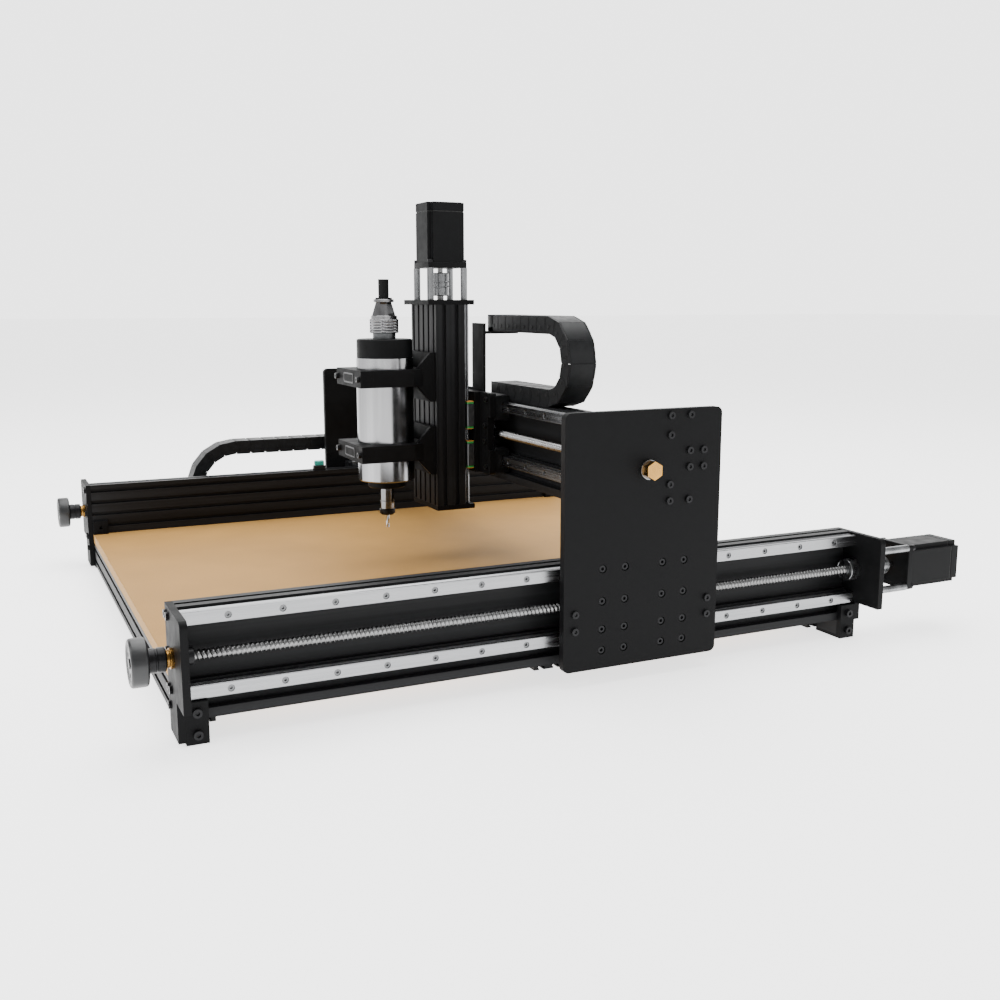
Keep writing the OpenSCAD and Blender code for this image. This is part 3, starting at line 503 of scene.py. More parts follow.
class RouterStudio(PropertyGroup):
    """Camera and light."""
    eye: FloatVectorProperty(name="Eye", description="Camera's place", size=3,
                             default=(1.6583, -0.6843, 0.4554), subtype="TRANSLATION")
    yaw: FloatProperty(name="Yaw", description="Camera's heading", default=math.radians(64.542),
                       unit="ROTATION")
    pitch: FloatProperty(name="Pitch", description="Camera's tilt down",
                         default=math.radians(10.093), unit="ROTATION")
    lens: FloatProperty(name="Lens", description="Focal length", default=40.19, unit="CAMERA")
    key: FloatProperty(name="Key", description="Power of the key light", default=150.0,
                       unit="POWER")
    room: FloatProperty(name="Room", description="Strength of the surrounding light",
                        default=3.2)


# ---------- pieces ----------

def thread_wave(pitch, depth, starts=2):
    """Depth of a ball screw's groove below its crest: half a circle over 0.72 of the pitch, along
    a helix of the given number of starts."""
    def wave(s, angle):
        phase = np.mod(s / pitch - starts * angle / TAU, 1.0) - 0.5
        return -depth * np.sqrt(np.clip(1 - (phase / 0.36) ** 2, 0, 1))
    return wave


def slit_wave(pitch, depth, low, high):
    """Helical slit of a beam coupling: a cut of constant depth along a helix, between two
    places on the axis."""
    def wave(s, angle):
        phase = np.mod(s / pitch - angle / TAU, 1.0)
        inside = (s > low) & (s < high) & (phase < 0.22)
        return -depth * inside
    return wave


def knurl_wave(count, depth):
    """Knurl: shallow ridges round a part, as the size of a sine."""
    def wave(s, angle):
        return depth * (np.abs(np.sin(count * angle / 2)) - 1)
    return wave


def turned_shaft(form, place, spans, mat=0):
    """Plain stretches of a shaft: (start, end, radius) each, with eased ends."""
    for a, b, r in spans:
        e = min(0.0005, (b - a) / 3)
        form.revolve([(a, r - e), (a + e, r), (b - e, r), (b, r - e)], place, 28, mat)


def screw_form(place, journal_a, thread, journal_b, coupling, shaft):
    """Ball screw with its coupling: journals, a threaded stretch and a slit coupling. Each
    argument is (start, end, radius) along the axis."""
    size = bpy.context.scene.router_thread
    form = Form()
    turned_shaft(form, place, (journal_a, journal_b, shaft))
    a, b, r = thread
    steps = int((b - a) / size.pitch * size.steps)
    s = np.linspace(a, b, steps)
    form.revolve(np.column_stack([s, np.full(steps, r)]), place, size.sides, 0,
                 thread_wave(size.pitch, size.depth))
    a, b, r = coupling
    ease, rings, slit = 0.001, 110, 0.003
    s = np.concatenate([[a], np.linspace(a + ease, b - ease, rings), [b]])
    radius = np.full(rings + 2, r)
    radius[[0, -1]] = r - ease
    form.revolve(np.column_stack([s, radius]), place, 72, 1,
                 slit_wave((b - a) * 0.2, slit, a + 0.3 * (b - a), b - 0.3 * (b - a)))
    for at in (a + 0.13 * (b - a), b - 0.13 * (b - a)):
        origin, axes = place
        hole = frame_at(origin + axes[2] * at + axes[0] * (r - 0.0012), axes[0], axes[2])
        form.revolve([(0.0005, 0.0024), (0.0011, 0.002)], hole, 16, 2)
    return form


class ROUTER_OT_ball_screws(Operator):
    """Threads, journals and couplings of the four ball screws"""
    bl_idname = "router.ball_screws"
    bl_label = "Ball screws"

    def execute(self, context):
        finishes = finishes_of("thread_steel", "turned_aluminium", "black_oxide")
        rear = corners("end_plates")[1][1]
        front_bearing = corners("screw_bearings")[0][1]
        for side in ("right", "left"):
            node = side + "_y_screw"
            low, high = corners(node)
            mid = centre(node)
            place = frame_at((mid[0], 0, mid[2]), Y_AXIS, X_AXIS)
            plate = front_bearing + 0.0155
            form = screw_form(place, (low[1], plate + 0.001, JOURNAL_R),
                              (plate + 0.001, rear - 0.024, SCREW_R),
                              (rear - 0.024, rear + 0.016, JOURNAL_R),
                              (rear + 0.014, rear + 0.048, COUPLING_R),
                              (rear + 0.048, high[1], MOTOR_SHAFT_R))
            turned_shaft(form, place, [(plate + 0.0005, plate + 0.0125, 0.0095)], 2)
            piece(form, node + "_threaded", finishes, node, [node])
        high = corners("x_screw")[1]
        mid = centre("x_screw")
        place = frame_at((0, mid[1], mid[2]), X_AXIS, Y_AXIS)
        inner = corners("x_beam")
        motor = corners("x_standoffs")[0][0]
        drive = inner[0][0] - 0.013
        form = screw_form(place, (inner[1][0] - 0.013, high[0], JOURNAL_R),
                          (inner[0][0] + 0.013, inner[1][0] - 0.013, SCREW_R),
                          (drive - 0.009, inner[0][0] + 0.013, JOURNAL_R),
                          (drive - 0.041, drive - 0.007, COUPLING_R),
                          (motor - 0.016, drive - 0.041, MOTOR_SHAFT_R))
        piece(form, "x_screw_threaded", finishes, "x_screw", ["x_screw"])
        low, high = corners("z_screw")
        mid = centre("z_screw")
        column = corners("z_column")
        top = column[1][2]
        place = frame_at((mid[0], mid[1], 0), Z_AXIS, X_AXIS)
        form = screw_form(place, (low[2], column[0][2] + 0.002, JOURNAL_R),
                          (column[0][2] + 0.002, top - 0.002, SCREW_R),
                          (top - 0.002, top + 0.017, JOURNAL_R),
                          (top + 0.013, top + 0.047, COUPLING_R),
                          (top + 0.047, high[2], MOTOR_SHAFT_R))
        piece(form, "z_screw_threaded", finishes, "z_screw", ["z_screw"])
        return {"FINISHED"}


class ROUTER_OT_handwheels(Operator):
    """Handwheels with rounded rims, dished faces and clamp collars"""
    bl_idname = "router.handwheels"
    bl_label = "Handwheels"

    def execute(self, context):
        for side in ("right", "left"):
            node = side + "_handwheel"
            low, high = corners(node)
            mid = centre(node)
            place = frame_at((mid[0], low[1], mid[2]), Y_AXIS, X_AXIS)
            wheel, length, r = 0.018, high[1] - low[1], (high[0] - low[0]) / 2
            form = Form()
            rim = 0.003
            turn = np.linspace(0, math.pi / 2, 5)
            front = np.column_stack([rim * (1 - np.cos(turn)), r - rim + rim * np.sin(turn)])
            back = np.column_stack([wheel - rim + rim * np.sin(turn), r - rim + rim * np.cos(turn)])
            hub, dish, step, edge = 0.008, 0.0028, 0.0014, r - 0.0066
            lip = [(wheel, hub), (dish, hub), (dish, edge), (step, edge), (0, r - 0.0035)]
            form.revolve(np.vstack([front, back, lip]), place, 96, 0, None, True)
            form.revolve([(step, r - 0.0069), (0.003, r - 0.0069)], place, 64, 1)
            form.revolve([(0.0002, 0.0050), (0.0006, 0.0055), (0.0016, 0.0055)], place, 32, 1)
            circle = 0.0125
            # three flat near-black discs stand for the holes in the wheel's face: painted shade
            for k in range(3):
                a = TAU * k / 3 + 0.5
                hole = frame_at((mid[0] + circle * math.cos(a), low[1] + 0.0012,
                                 mid[2] + circle * math.sin(a)), Y_AXIS, X_AXIS)
                form.revolve([(0, 0.0024), (0.001, 0.0024)], hole, 20, 2)
            c = 0.013
            collar = [(wheel, c - 0.0012), (wheel + 0.0012, c), (wheel + 0.0075, c),
                      (wheel + 0.008, c - 0.0008), (wheel + 0.0095, c - 0.0008),
                      (wheel + 0.01, c), (length - 0.001, c), (length, c - 0.001)]
            form.revolve(collar, place, 48, 1)
            screw = frame_at(place[0] + np.array([0, wheel + 0.004, 0.0126]), Z_AXIS, X_AXIS)
            form.revolve([(-0.001, 0.0024), (0.0002, 0.0024), (0.0004, 0.002)], screw, 20, 1)
            piece(form, node + "_turned", finishes_of("wheel_grey", "black_oxide", "painted_hole_shade"),
                  side + "_y_screw", [node])
        return {"FINISHED"}


class ROUTER_OT_bearings(Operator):
    """Brass front bushings and the rear bearing rings of the long screws"""
    bl_idname = "router.bearings"
    bl_label = "Screw bearings"

    def execute(self, context):
        low, high = corners("screw_bearings")
        front_plate = corners("end_plates")[0][1]
        rear_plate = corners("end_plates")[1][1]
        form = Form()
        for side in ("right", "left"):
            mid = centre(side + "_y_screw")
            place = frame_at((mid[0], 0, mid[2]), Y_AXIS, X_AXIS)
            a, plate = low[1], front_plate
            form.revolve([(a, BORE_R), (a, 0.0088), (a + 0.0008, 0.0096), (a + 0.003, 0.0096),
                          (a + 0.0034, 0.0105), (a + 0.004, 0.011), (plate, 0.011),
                          (plate + 0.008, 0.008), (plate + 0.008, BORE_R)], place, 48, 0, None, True)
            b, plate = rear_plate - 0.023, rear_plate
            form.revolve([(b, BORE_R), (b, 0.0065), (b + 0.001, 0.0065), (b + 0.001, 0.0132),
                          (b, 0.0138), (b, 0.0145), (b + 0.0006, 0.015), (plate - 0.008, 0.015),
                          (plate - 0.008, 0.008), (high[1], 0.008), (high[1], BORE_R)],
                         place, 48, 1, None, True)
        piece(form, "screw_bearings_turned", finishes_of("brass", "turned_aluminium"),
              "base", ["screw_bearings"])
        return {"FINISHED"}


def motor_outline(w, cut):
    """Square of width w whose corners are cut by square steps with small round edges."""
    a, b = w / 2, w / 2 - cut
    step = np.array([(a, b), (b + 0.0008, b), (b, b + 0.0008), (b, a)])
    turn = [np.array([[math.cos(t), math.sin(t)], [-math.sin(t), math.cos(t)]])
            for t in (0, math.pi / 2, math.pi, 3 * math.pi / 2)]
    return np.vstack([step @ m for m in turn])


def motor_form(form, place, w, length):
    """Stepper motor: front flange with round corners and its four screws, a long body with
    stepped corners, and a rear cap."""
    form.prism(rounded(w + 0.002, w + 0.002, 0.003), 0, 0.008, place, 0, 0.0006)
    body = motor_outline(w - 0.001, 0.0066)
    form.prism(body, 0.008, length - 0.014, place, 0, 0.0004)
    # near-black band in the groove between body and rear cap: painted shade
    form.prism(inset(body, 0.0007), length - 0.0145, length - 0.0125, place, 2)
    form.prism(body, length - 0.0128, length, place, 0, 0.0008)
    form.revolve([(length - 0.001, 0.012), (length - 0.0001, 0.0115)], place, 40, 0)
    origin, axes = place
    at = w * 0.45
    for x, y in ((at, at), (-at, at), (-at, -at), (at, -at)):
        head = (origin + axes[0] * x + axes[1] * y, axes)
        form.revolve([(0.0078, 0.0042), (0.0115, 0.0042), (0.012, 0.0037)], head, 20, 1)
    # flat near-black discs on the rear cap stand for screw holes: painted shade
    for x, y in ((1, 1), (-1, 1), (-1, -1), (1, -1)):
        head = (origin + (axes[0] * x + axes[1] * y) * (w / 2 - 0.011), axes)
        form.revolve([(length - 0.0012, 0.0026), (length - 0.0002, 0.0026)], head, 16, 2)


class ROUTER_OT_motors(Operator):
    """Stepper motors of the X, Y and Z axes"""
    bl_idname = "router.motors"
    bl_label = "Motors"

    def execute(self, context):
        finishes = finishes_of("motor_enamel", "black_oxide", "painted_hole_shade")
        low, high = corners("y_motors")
        width, length = high[2] - low[2] - 0.002, high[1] - low[1]
        form = Form()
        for side in ("right", "left"):
            mid = centre(side + "_y_screw")
            motor_form(form, frame_at((mid[0], low[1], mid[2]), Y_AXIS, X_AXIS), width, length)
        piece(form, "y_motors_cased", finishes, "base", ["y_motors"])
        high = corners("x_motor")[1]
        mid = centre("x_screw")
        form = Form()
        motor_form(form, frame_at((high[0], mid[1], mid[2]), -X_AXIS, Y_AXIS), width, length)
        piece(form, "x_motor_cased", finishes, "gantry", ["x_motor"])
        low = corners("z_motor")[0]
        mid = centre("z_screw")
        form = Form()
        motor_form(form, frame_at((mid[0], mid[1], low[2]), Z_AXIS, X_AXIS), width, length)
        piece(form, "z_motor_cased", finishes, "head", ["z_motor"])
        return {"FINISHED"}


def carriage_outline(w, h, low, rail_w, rail_h, shrink=0.0):
    """Section of a rail block, anticlockwise: a chamfered rectangle with the rail's shape taken
    out of its underside. y is the height above the rail's base."""
    a, c = w / 2 - shrink, 0.0012
    r = rail_w / 2 + 0.0004
    n = rail_w / 2 - 0.0014
    top = rail_h + 0.0004
    return np.array([
        (-a + c, low), (-r, low), (-n, low + 0.0022), (-n, rail_h * 0.6), (-r, rail_h * 0.78),
        (-r, top), (r, top), (r, rail_h * 0.78), (n, rail_h * 0.6), (n, low + 0.0022),
        (r, low), (a - c, low), (a, low + c), (a, h - c), (a - c, h), (-a + c, h),
        (-a, h - c), (-a, low + c)])


def carriage_form(form, place, w, h, length, low, rail_w, rail_h, bright=True):
    """Rail block: steel body, a dark cap, a seal and a thin scraper at each end, in green and
    orange if bright."""
    half = length / 2
    body = carriage_outline(w, h, low, rail_w, rail_h)
    cap = carriage_outline(w, h - 0.0008, low + 0.0003, rail_w, rail_h, 0.0008)
    inner = half - (0.0045 if bright else 0.0075)
    seal, scraper = (2, 3) if bright else (1, 1)
    form.prism(body, -inner, inner, place, 0)
    for s in (-1, 1):
        for a, b, mat in ((inner, half - 0.0038, 1), (half - 0.0038, half - 0.0009, seal),
                          (half - 0.0009, half, scraper)):
            form.prism(cap, min(s * a, s * b), max(s * a, s * b), place, mat)


class ROUTER_OT_rail_blocks(Operator):
    """Rail blocks of all three axes, with their end seals"""
    bl_idname = "router.rail_blocks"
    bl_label = "Rail blocks"

    def execute(self, context):
        finishes = finishes_of("block_steel", "chain_nylon", "seal_green", "scraper_orange")
        rails = corners("y_rails")
        blocks = corners("y_blocks")
        low_row, high_row = rails[0][2] + RAIL_W / 2, rails[1][2] - RAIL_W / 2
        length = 0.061
        form = Form()
        for sign, face in ((1, blocks[1][0]), (-1, blocks[0][0])):
            for y in (blocks[0][1] + length / 2, blocks[1][1] - length / 2):
                for z in (low_row, high_row):
                    place = (np.array([face - sign * WIDE_BLOCK[1], y, z]),
                             np.array([Z_AXIS, sign * X_AXIS, Y_AXIS]))
                    carriage_form(form, place, *WIDE_BLOCK, length, *ON_RAIL, RAIL_H, False)
        piece(form, "y_blocks_sealed", finishes, "gantry", ["y_blocks"])
        rails = corners("x_rails")
        blocks = corners("x_blocks")
        low_row, high_row = rails[0][2] + RAIL_W / 2, rails[1][2] - RAIL_W / 2
        form = Form()
        for x in (blocks[0][0] + length / 2, blocks[1][0] - length / 2):
            for z in (low_row, high_row):
                place = (np.array([x, rails[1][1], z]), np.array([Z_AXIS, -Y_AXIS, X_AXIS]))
                carriage_form(form, place, *WIDE_BLOCK, length, *ON_RAIL, RAIL_H, False)
        piece(form, "x_blocks_sealed", finishes, "carriage", ["x_blocks"])
        rails = corners("z_rails")
        blocks = corners("z_blocks")
        length = 0.042
        form = Form()
        for x in (rails[0][0] + RAIL_W / 2, rails[1][0] - RAIL_W / 2):
            for z in (blocks[0][2] + length / 2, blocks[1][2] - length / 2):
                place = (np.array([x, rails[0][1], z]), np.array([X_AXIS, Y_AXIS, Z_AXIS]))
                carriage_form(form, place, *LOW_BLOCK, length, *ON_RAIL, Z_RAIL_H)
        piece(form, "z_blocks_sealed", finishes, "carriage", ["z_blocks"])
        return {"FINISHED"}


class ROUTER_OT_spindle(Operator):
    """Spindle body, cap, connector, nose, collet nut and end mill"""
    bl_idname = "router.spindle"
    bl_label = "Spindle"

    def execute(self, context):
        low, high = corners("spindle_body")
        mid = centre("collet_nut")
        r = SPINDLE_R
        base, top = low[2] + 0.011, high[2]
        cap = top - 0.028
        flange, circle = 0.0285, 0.031
        place = frame_at((mid[0], mid[1], 0), Z_AXIS, X_AXIS)
        form = Form()
        form.revolve([(low[2], SPINDLE_BORE_R), (low[2], flange - 0.002), (low[2] + 0.002, flange),
                      (base + 0.001, flange), (base + 0.001, SPINDLE_BORE_R)],
                     place, 96, 1, None, True)
        form.revolve([(base, SPINDLE_BORE_R), (base, 0.0405), (base + 0.002, r), (cap - 0.0185, r),
                      (cap - 0.0182, r - 0.0004), (cap - 0.0174, r - 0.0004), (cap - 0.0171, r),
                      (cap, r), (cap, SPINDLE_BORE_R)], place, 128, 0, None, True)
        turn = np.linspace(0, math.pi / 2, 6)
        edge = np.column_stack([top - 0.003 + 0.003 * np.sin(turn),
                                r - 0.004 + 0.003 * np.cos(turn)])
        form.revolve(np.vstack([[(cap + 0.0003, r - 0.0016), (cap + 0.001, r - 0.001)], edge,
                                [(top, 0.018)]]), place, 128, 1)
        for k in range(4):
            a = TAU * (k + 0.5) / 4
            head = frame_at((mid[0] + circle * math.cos(a), mid[1] + circle * math.sin(a), 0),
                            Z_AXIS, X_AXIS)
            form.revolve([(top - 0.001, 0.0035), (top - 0.00015, 0.0035), (top - 0.0001, 0.003)],
                         head, 20, 2)
        piece(form, "spindle_shell", finishes_of("shell_steel_painted_reflection", "motor_enamel", "black_oxide"),
              "head", ["spindle_body"], 40)
        self.connector(mid, top)
        self.nose(mid)
        return {"FINISHED"}

    def connector(self, mid, z):
        """Plug on the spindle's cap: base, ribbed and knurled ring, cone, clamp and rubber boot."""
        place = frame_at((mid[0], mid[1], z), Z_AXIS, X_AXIS)
        form = Form()
        form.revolve([(0, 0.017), (0.0085, 0.017)], place, 64, 1)
        ring_low, ring_high, ring_r, rib_high, rib_pitch = 0.0085, 0.029, 0.0205, 0.001, 0.0041
        s = np.linspace(ring_low, ring_high, 60)
        rib = ring_r + rib_high * np.abs(np.sin((s - ring_low) / rib_pitch * math.pi)) ** 0.5
        form.revolve(np.column_stack([s, rib]), place, 120, 0, knurl_wave(60, 0.0005))
        form.revolve([(0.029, 0.0195), (0.0335, 0.0195), (0.034, 0.019)], place, 64, 0)
        form.revolve([(0.034, 0.0185), (0.0365, 0.0178), (0.0530, 0.0125), (0.0535, 0.0120)],
                     place, 8, 0)
        form.revolve([(0.0535, 0.0145), (0.0540, 0.0150), (0.0575, 0.0150), (0.058, 0.0145)],
                     place, 40, 0)
        for side in (-1, 1):
            head = frame_at((mid[0], mid[1] + side * 0.0105, z), Z_AXIS, X_AXIS)
            form.revolve([(0.057, 0.0024), (0.0598, 0.0024), (0.0602, 0.002)], head, 18, 2)
        s = np.linspace(0.058, 0.087, 30)
        form.revolve(np.column_stack([s, 0.0078 + 0 * s]), place, 32, 3)
        piece(form, "spindle_plug", finishes_of("nickel", "block_steel", "black_oxide", "rubber"),
              "head", ["spindle_connector"], 30)

    def nose(self, mid):
        """Spindle nose, slotted collet nut and a fluted end mill."""
        low, high = corners("collet_nut")
        place = frame_at((mid[0], mid[1], 0), Z_AXIS, X_AXIS)
        step = low[2] + 0.009
        form = Form()
        form.revolve([(step, 0.0098), (step + 0.0007, 0.0105), (step + 0.012, 0.0105),
                      (step + 0.0125, 0.010), (step + 0.0135, 0.010), (step + 0.014, 0.0105),
                      (high[2], 0.0105)], place, 64, 0)

        def slots(s, a):
            """Six spanner slots, where the sine of three times the angle is small."""
            cut = (np.abs(np.sin(3 * a)) < 0.3) & (s < low[2] + 0.0075)
            return np.where(cut, -0.0014, 0.0)

        form.revolve([(low[2], 0.0032), (low[2], 0.0095), (low[2] + 0.0022, 0.0118),
                      (low[2] + 0.003, 0.012), (step - 0.001, 0.012), (step - 0.0004, 0.0114),
                      (step, 0.0105)], place, 96, 1, slots)
        piece(form, "collet_nut_turned", finishes_of("nickel", "black_oxide"),
              "spindle_rotor", ["collet_nut"], 30)
        low, high = corners("end_mill")
        flute, lead, radius, rings = 0.022, 0.019, 0.003, 60

        def flutes(s, a):
            """Two helical flutes on the lower stretch, cut to about half the radius."""
            depth = np.clip((low[2] + flute - s) / 0.004, 0, 1)
            wave = np.abs(np.sin(a - TAU * (s - low[2]) / lead / 2)) ** 0.7
            return -0.0016 * depth * (1 - wave)

        s = np.concatenate([np.linspace(low[2], low[2] + flute, rings), [high[2]]])
        form = Form()
        form.revolve(np.column_stack([s, np.full(rings + 1, radius)]), place, 48, 0, flutes)
        piece(form, "end_mill_fluted", finishes_of("carbide"), "spindle_rotor", ["end_mill"],
              40)


def link_form(width, height, pitch, radius=None):
    """One link of an enclosed cable chain about the origin: local x along the chain, y from its
    inner to its outer side, z across it. Two side plates and two lids, longer outside than
    inside where the link stands in a bend of the given radius; a round head over each joint
    and a pivot boss on it."""
    size = bpy.context.scene.router_chain
    wall, lid = size.wall, size.lid
    h = height / 2
    grow = h / radius if radius else 0.0
    long, short = 0.488 * pitch * (1 + grow), 0.482 * pitch * (1 - grow)
    step = 0.0009
    top = math.sqrt((h + radius) ** 2 - long ** 2) - radius if radius else h
    form = Form()
    plate = np.array([(-short, -h), (short, -h), (long, top), (-long, top)])
    t = np.linspace(-math.pi / 2, math.pi / 2, 9)
    reach = 0.5 * pitch - 0.15 * h
    head = np.vstack([[(-0.18 * pitch, 0.82 * h), (-0.18 * pitch, -0.82 * h)],
                      np.column_stack([reach + 0.55 * h * np.cos(t), 0.82 * h * np.sin(t)])])
    pivot = frame_at((reach - 0.1 * h, -0.3 * h, 0), Z_AXIS, X_AXIS)
    for face, inward in ((0.0, 1), (width, -1)):
        at = [face + inward * d for d in (0.0005, step, step + wall)]
        form.prism(plate, min(at[1:]), max(at[1:]), WORLD, 0, 0.0003)
        form.prism(head, min(at[:2]), max(at[:2]), WORLD, 0, 0.0001)
        ring = [(min(face, at[0]), 0.0030), (max(face, at[0]), 0.0030)]
        form.revolve(ring, pivot, 16, 0)
        # a flat near-black disc on each pivot boss stands for its hole: painted shade
        dot = (face, face + inward * 0.0002)
        form.revolve([(min(dot) - 0.00002, 0.0013), (max(dot), 0.0013)], pivot, 10, 1)
    for y0, y1, half in ((top - lid, top - 0.0001, long), (-h + 0.0001, -h + lid, short * 0.8)):
        form.block((-half, y0, step + wall), (half, y1, width - step - wall), 0, 0.0006)
    return form


def chain_places(start, end, count, outward, width_axis):
    """Places of count links spaced evenly on a straight run from start to end."""
    start, end = np.asarray(start, float), np.asarray(end, float)
    run = (end - start) / np.linalg.norm(end - start)
    t = (np.arange(count) + 0.5)[:, None] / count
    axes = np.array([run, outward, width_axis])
    return start + t * (end - start), np.repeat(axes[None], count, 0)


def bend_places(middle, radius, count, ahead, width_axis):
    """Places of count links round a half circle, from its lowest to its highest point, bulging
    towards `ahead`."""
    angle = (np.arange(count) + 0.5) / count * math.pi - math.pi / 2
    ahead = np.asarray(ahead, float)
    out = np.cos(angle)[:, None] * ahead + np.sin(angle)[:, None] * Z_AXIS
    run = -np.sin(angle)[:, None] * ahead + np.cos(angle)[:, None] * Z_AXIS
    wide = np.repeat(np.asarray(width_axis, float)[None], count, 0)
    return middle + radius * out, np.stack([run, out, wide], 1)


class ROUTER_OT_cable_chains(Operator):
    """Both cable chains: links on the straight runs and round the bends"""
    bl_idname = "router.cable_chains"
    bl_label = "Cable chains"

    def execute(self, context):
        self.chain("x", 0, X_AXIS, Y_AXIS, "gantry")
        self.chain("y", 1, -Y_AXIS, X_AXIS, "base")
        return {"FINISHED"}

    def chain(self, name, axis, ahead, wide, ground):
        """One chain: `axis` is the number of its travel axis, `ahead` points out of its bend."""
        wish = bpy.context.scene.router_chain.link
        loop, lower, upper = (corners("%s_chain_%s" % (name, part))
                              for part in ("loop", "lower", "upper"))
        across = 1 - axis
        width = loop[1][across] - loop[0][across]
        outer = (loop[1][2] - loop[0][2]) / 2
        height = lower[1][2] - lower[0][2] + 0.0004
        radius = outer - height / 2
        middle = (loop[0] + loop[1]) / 2
        middle[axis] = loop[0][axis] if ahead[axis] > 0 else loop[1][axis]
        middle[across] = loop[0][across]
        turns = round(math.pi * radius / wish)
        pitch = math.pi * radius / turns
        link = link_form(width, height, pitch)
        bent = link_form(width, height, pitch, radius)
        mats = finishes_of("chain_nylon", "painted_hole_shade")
        form = Form().copies(bent, *bend_places(middle, radius, turns, ahead, wide))
        piece(form, name + "_chain_bend", mats, name + "_chain_loop", [name + "_chain_loop"])
        far = 0 if ahead[axis] > 0 else 1
        for run, node, side, bodies in (
                ("lower", lower, -1, (ground, name + "_chain_loop")),
                ("upper", upper, 1, (name + "_chain_loop", name + "_chain_end"))):
            start, end = middle.copy(), middle.copy()
            start[2] = end[2] = middle[2] + side * radius
            end[axis] = node[far][axis]
            count = round(abs(end[axis] - start[axis]) / pitch)
            origins, axes = chain_places(end if side < 0 else start, start if side < 0 else end,
                                         count, side * Z_AXIS, wide)
            form = Form().copies(link, origins, axes)
            first, last = (end, start) if side < 0 else (start, end)
            piece(form, "%s_chain_%s_links" % (name, run), mats,
                  (*bodies, tuple(first), tuple(last)), ["%s_chain_%s" % (name, run)])


class ROUTER_OT_chain_ends(Operator):
    """Moving end and fixed end of the X chain"""
    bl_idname = "router.chain_ends"
    bl_label = "Chain ends"

    def execute(self, context):
        mats = finishes_of("chain_nylon", "black_oxide")
        low, high = corners("x_chain_end")
        form = Form()
        form.block(low, high - np.array([0, 0, 0.0182]), 0, 0.0008)
        for y in (low[1], high[1] - 0.004):
            form.block((low[0], y, low[2]), (high[0], y + 0.004, high[2] - 0.0002), 0, 0.0008)
        form.block((low[0], low[1], high[2] - 0.003), (high[0], high[1], high[2]), 0, 0.0006)
        piece(form, "x_chain_moving_end", mats, "x_chain_end", ["x_chain_end"])
        low, high = corners("x_chain_lower")
        form = Form()
        form.block((low[0] - 0.026, low[1] + 0.004, low[2]),
                   (low[0] + 0.004, high[1] - 0.004, low[2] + 0.003), 0, 0.0006)
        for y in (low[1] + 0.004, high[1] - 0.008):
            form.block((low[0] - 0.006, y, low[2]), (low[0] + 0.006, y + 0.004, high[2] - 0.003),
                       0, 0.0008)
        for y in (low[1] + 0.013, high[1] - 0.013):
            head = frame_at((low[0] - 0.016, y, low[2] + 0.003), Z_AXIS, X_AXIS)
            form.revolve([(-0.001, 0.0045), (0.0024, 0.0045), (0.003, 0.0038)], head, 24, 1)
        piece(form, "x_chain_fixed_end", mats, "gantry", [])
        return {"FINISHED"}


class ROUTER_OT_home_switch(Operator):
    """Small home switch with its teal cap"""
    bl_idname = "router.home_switch"
    bl_label = "Home switch"

    def execute(self, context):
        low, high = corners("home_switch")
        half = (low[2] + high[2]) / 2
        form = Form()
        form.block(low, (high[0], high[1], half), 1, 0.0008)
        form.block((low[0] + 0.001, low[1] + 0.002, half), (high[0] - 0.001, high[1] - 0.002, high[2]),
                   0, 0.0015)
        for y in (low[1] + 0.004, high[1] - 0.004):
            head = frame_at((low[0], y, low[2] + 0.0045), X_AXIS, Y_AXIS)
            form.revolve([(0.0001, 0.0016), (0.0099, 0.0016)], head, 16, 2)
        piece(form, "home_switch_capped", finishes_of("teal_cap", "chain_nylon", "black_oxide"),
              "base", ["home_switch"])
        return {"FINISHED"}


class ROUTER_OT_label_plates(Operator):
    """Blank plates on the fronts of the spindle clamps"""
    bl_idname = "router.label_plates"
    bl_label = "Blank plates"

    def execute(self, context):
        low, high = corners("clamp_caps")
        height = 0.0245
        mid = (low[0] + high[0]) / 2
        form = Form()
        for z in (low[2] + height / 2, high[2] - height / 2):
            place = (np.array([mid, low[1], z]), np.array([X_AXIS, Z_AXIS, -Y_AXIS]))
            form.prism(rounded(0.044, 0.015, 0.0025), -0.0004, 0.0006, place, 0, 0.0002)
            form.prism(rounded(0.039, 0.0105, 0.0016), 0.0004, 0.0008, place, 1, 0.0001)
        piece(form, "clamp_blank_plates", finishes_of("black_oxide", "powder_coat"),
              "head", [])
        return {"FINISHED"}


class ROUTER_OT_node_finishes(Operator):
    """Finishes of the CAD nodes that are shown as they are"""
    bl_idname = "router.node_finishes"
    bl_label = "Node finishes"

    def execute(self, context):
        for name, nodes in NODE_FINISH.items():
            for node in nodes:
                obj = NODES[node]
                obj.data.materials.clear()
                obj.data.materials.append(finish(name))
        return {"FINISHED"}


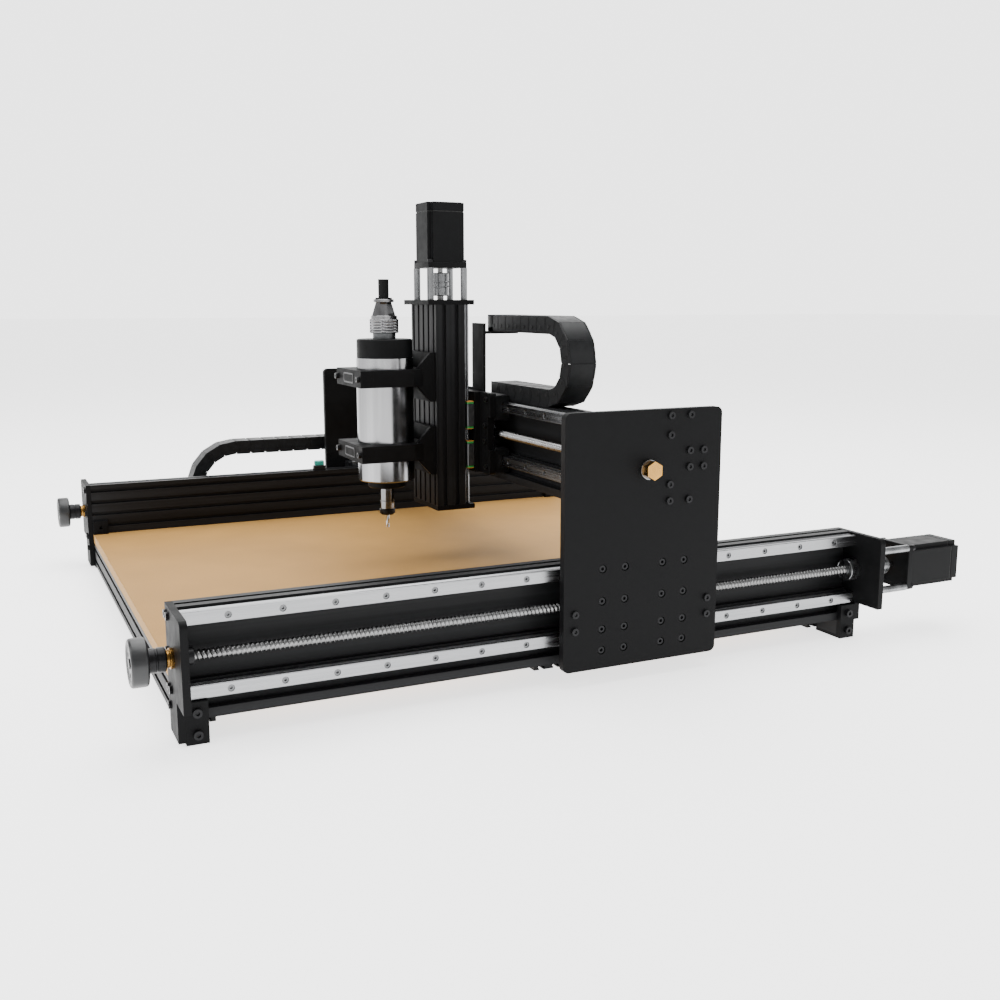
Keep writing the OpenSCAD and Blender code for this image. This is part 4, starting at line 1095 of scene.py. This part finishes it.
class ROUTER_OT_studio(Operator):
    """Pale floor, soft light and the camera"""
    bl_idname = "router.studio"
    bl_label = "Studio"

    def execute(self, context):
        size = context.scene.router_studio
        camera = bpy.data.cameras.new("camera")
        camera.lens = size.lens
        camera.sensor_width = 36
        eye = bpy.data.objects.new("camera", camera)
        eye.location = size.eye
        eye.rotation_euler = Euler((math.pi / 2 - size.pitch, 0, size.yaw))
        context.scene.collection.objects.link(eye)
        context.scene.camera = eye
        mesh = bpy.data.meshes.new("floor")
        reach = 30.0
        mesh.from_pydata([(-reach, -reach, 0), (reach, -reach, 0), (reach, reach, 0),
                          (-reach, reach, 0)], [], [(0, 1, 2, 3)])
        floor = bpy.data.objects.new("floor", mesh)
        floor.location.z = -0.0005
        context.scene.collection.objects.link(floor)
        mat, _, bsdf = shader("pale_floor", (0.9, 0.9, 0.9), 0.0, 0.7)
        bsdf.inputs["Emission Color"].default_value = (1, 1, 1, 1)
        bsdf.inputs["Emission Strength"].default_value = 1.9
        mesh.materials.append(mat)
        self.room(context, size)
        for name, place, target, extent, power in (
                ("top", (-0.3, 0.2, 2.8), (0, 0, 0), 3.0, size.key),
                ("front", (0.2, -2.8, 1.9), (0, 0, 0.25), 1.2, size.key * 0.3),
                ("side", (2.9, 1.7, 1.4), (0, 0, 0.2), 1.0, size.key * 0.12)):
            light = bpy.data.lights.new(name, "AREA")
            light.size = extent
            light.energy = power
            lamp = bpy.data.objects.new(name, light)
            lamp.location = place
            aim = Vector(target) - Vector(place)
            lamp.rotation_euler = aim.to_track_quat("-Z", "Y").to_euler()
            context.scene.collection.objects.link(lamp)
        return {"FINISHED"}

    def room(self, context, size):
        """Light of the room: strongest beyond the machine, seen from the camera, and dim behind
        the camera, so that the dark finishes stay dark."""
        world = bpy.data.worlds.new("room")
        world.use_nodes = True
        context.scene.world = world
        tree = world.node_tree
        sky = tree.nodes["Background"]
        sky.inputs["Color"].default_value = (1, 1, 1, 1)
        coord = tree.nodes.new("ShaderNodeTexCoord")
        dot = tree.nodes.new("ShaderNodeVectorMath")
        dot.operation = "DOT_PRODUCT"
        dot.inputs[1].default_value = (-math.sin(size.yaw), math.cos(size.yaw), 0)
        fall = tree.nodes.new("ShaderNodeMapRange")
        fall.interpolation_type = "SMOOTHSTEP"
        fall.inputs["From Min"].default_value = 0.5
        fall.inputs["From Max"].default_value = 0.88
        fall.inputs["To Min"].default_value = size.room * 0.22
        fall.inputs["To Max"].default_value = size.room
        tree.links.new(coord.outputs["Generated"], dot.inputs[0])
        tree.links.new(dot.outputs["Value"], fall.inputs["Value"])
        tree.links.new(fall.outputs["Result"], sky.inputs["Strength"])


class ROUTER_PT_panel(Panel):
    """Lists the router's sizes and its building steps"""
    bl_idname = "ROUTER_PT_panel"
    bl_label = "Router"
    bl_space_type = "VIEW_3D"
    bl_region_type = "UI"
    bl_category = "Router"

    def draw(self, context):
        for group in GROUPS:
            box = self.layout.box()
            settings = getattr(context.scene, group)
            for key in type(settings).__annotations__:
                box.prop(settings, key)
        for step in STEPS:
            self.layout.operator(step.bl_idname)


GROUPS = {"router_look": RouterLook, "router_thread": RouterThread,
          "router_chain": RouterChain, "router_studio": RouterStudio}
STEPS = (ROUTER_OT_studio, ROUTER_OT_node_finishes, ROUTER_OT_ball_screws,
         ROUTER_OT_handwheels, ROUTER_OT_bearings, ROUTER_OT_motors, ROUTER_OT_rail_blocks,
         ROUTER_OT_spindle, ROUTER_OT_cable_chains, ROUTER_OT_chain_ends,
         ROUTER_OT_home_switch, ROUTER_OT_label_plates)


def register():
    """Registers the property groups, operators and the panel."""
    for name, group in GROUPS.items():
        bpy.utils.register_class(group)
        setattr(bpy.types.Scene, name, PointerProperty(type=group))
    for cls in (*STEPS, ROUTER_PT_panel):
        bpy.utils.register_class(cls)


def unregister():
    """Takes back what register() did, in the opposite order."""
    for cls in reversed((*STEPS, ROUTER_PT_panel)):
        bpy.utils.unregister_class(cls)
    for name, group in reversed(list(GROUPS.items())):
        delattr(bpy.types.Scene, name)
        bpy.utils.unregister_class(group)


def main():
    register()
    for step in STEPS:
        group, name = step.bl_idname.split(".")
        getattr(getattr(bpy.ops, group), name)()


if __name__ == "__main__":
    main()
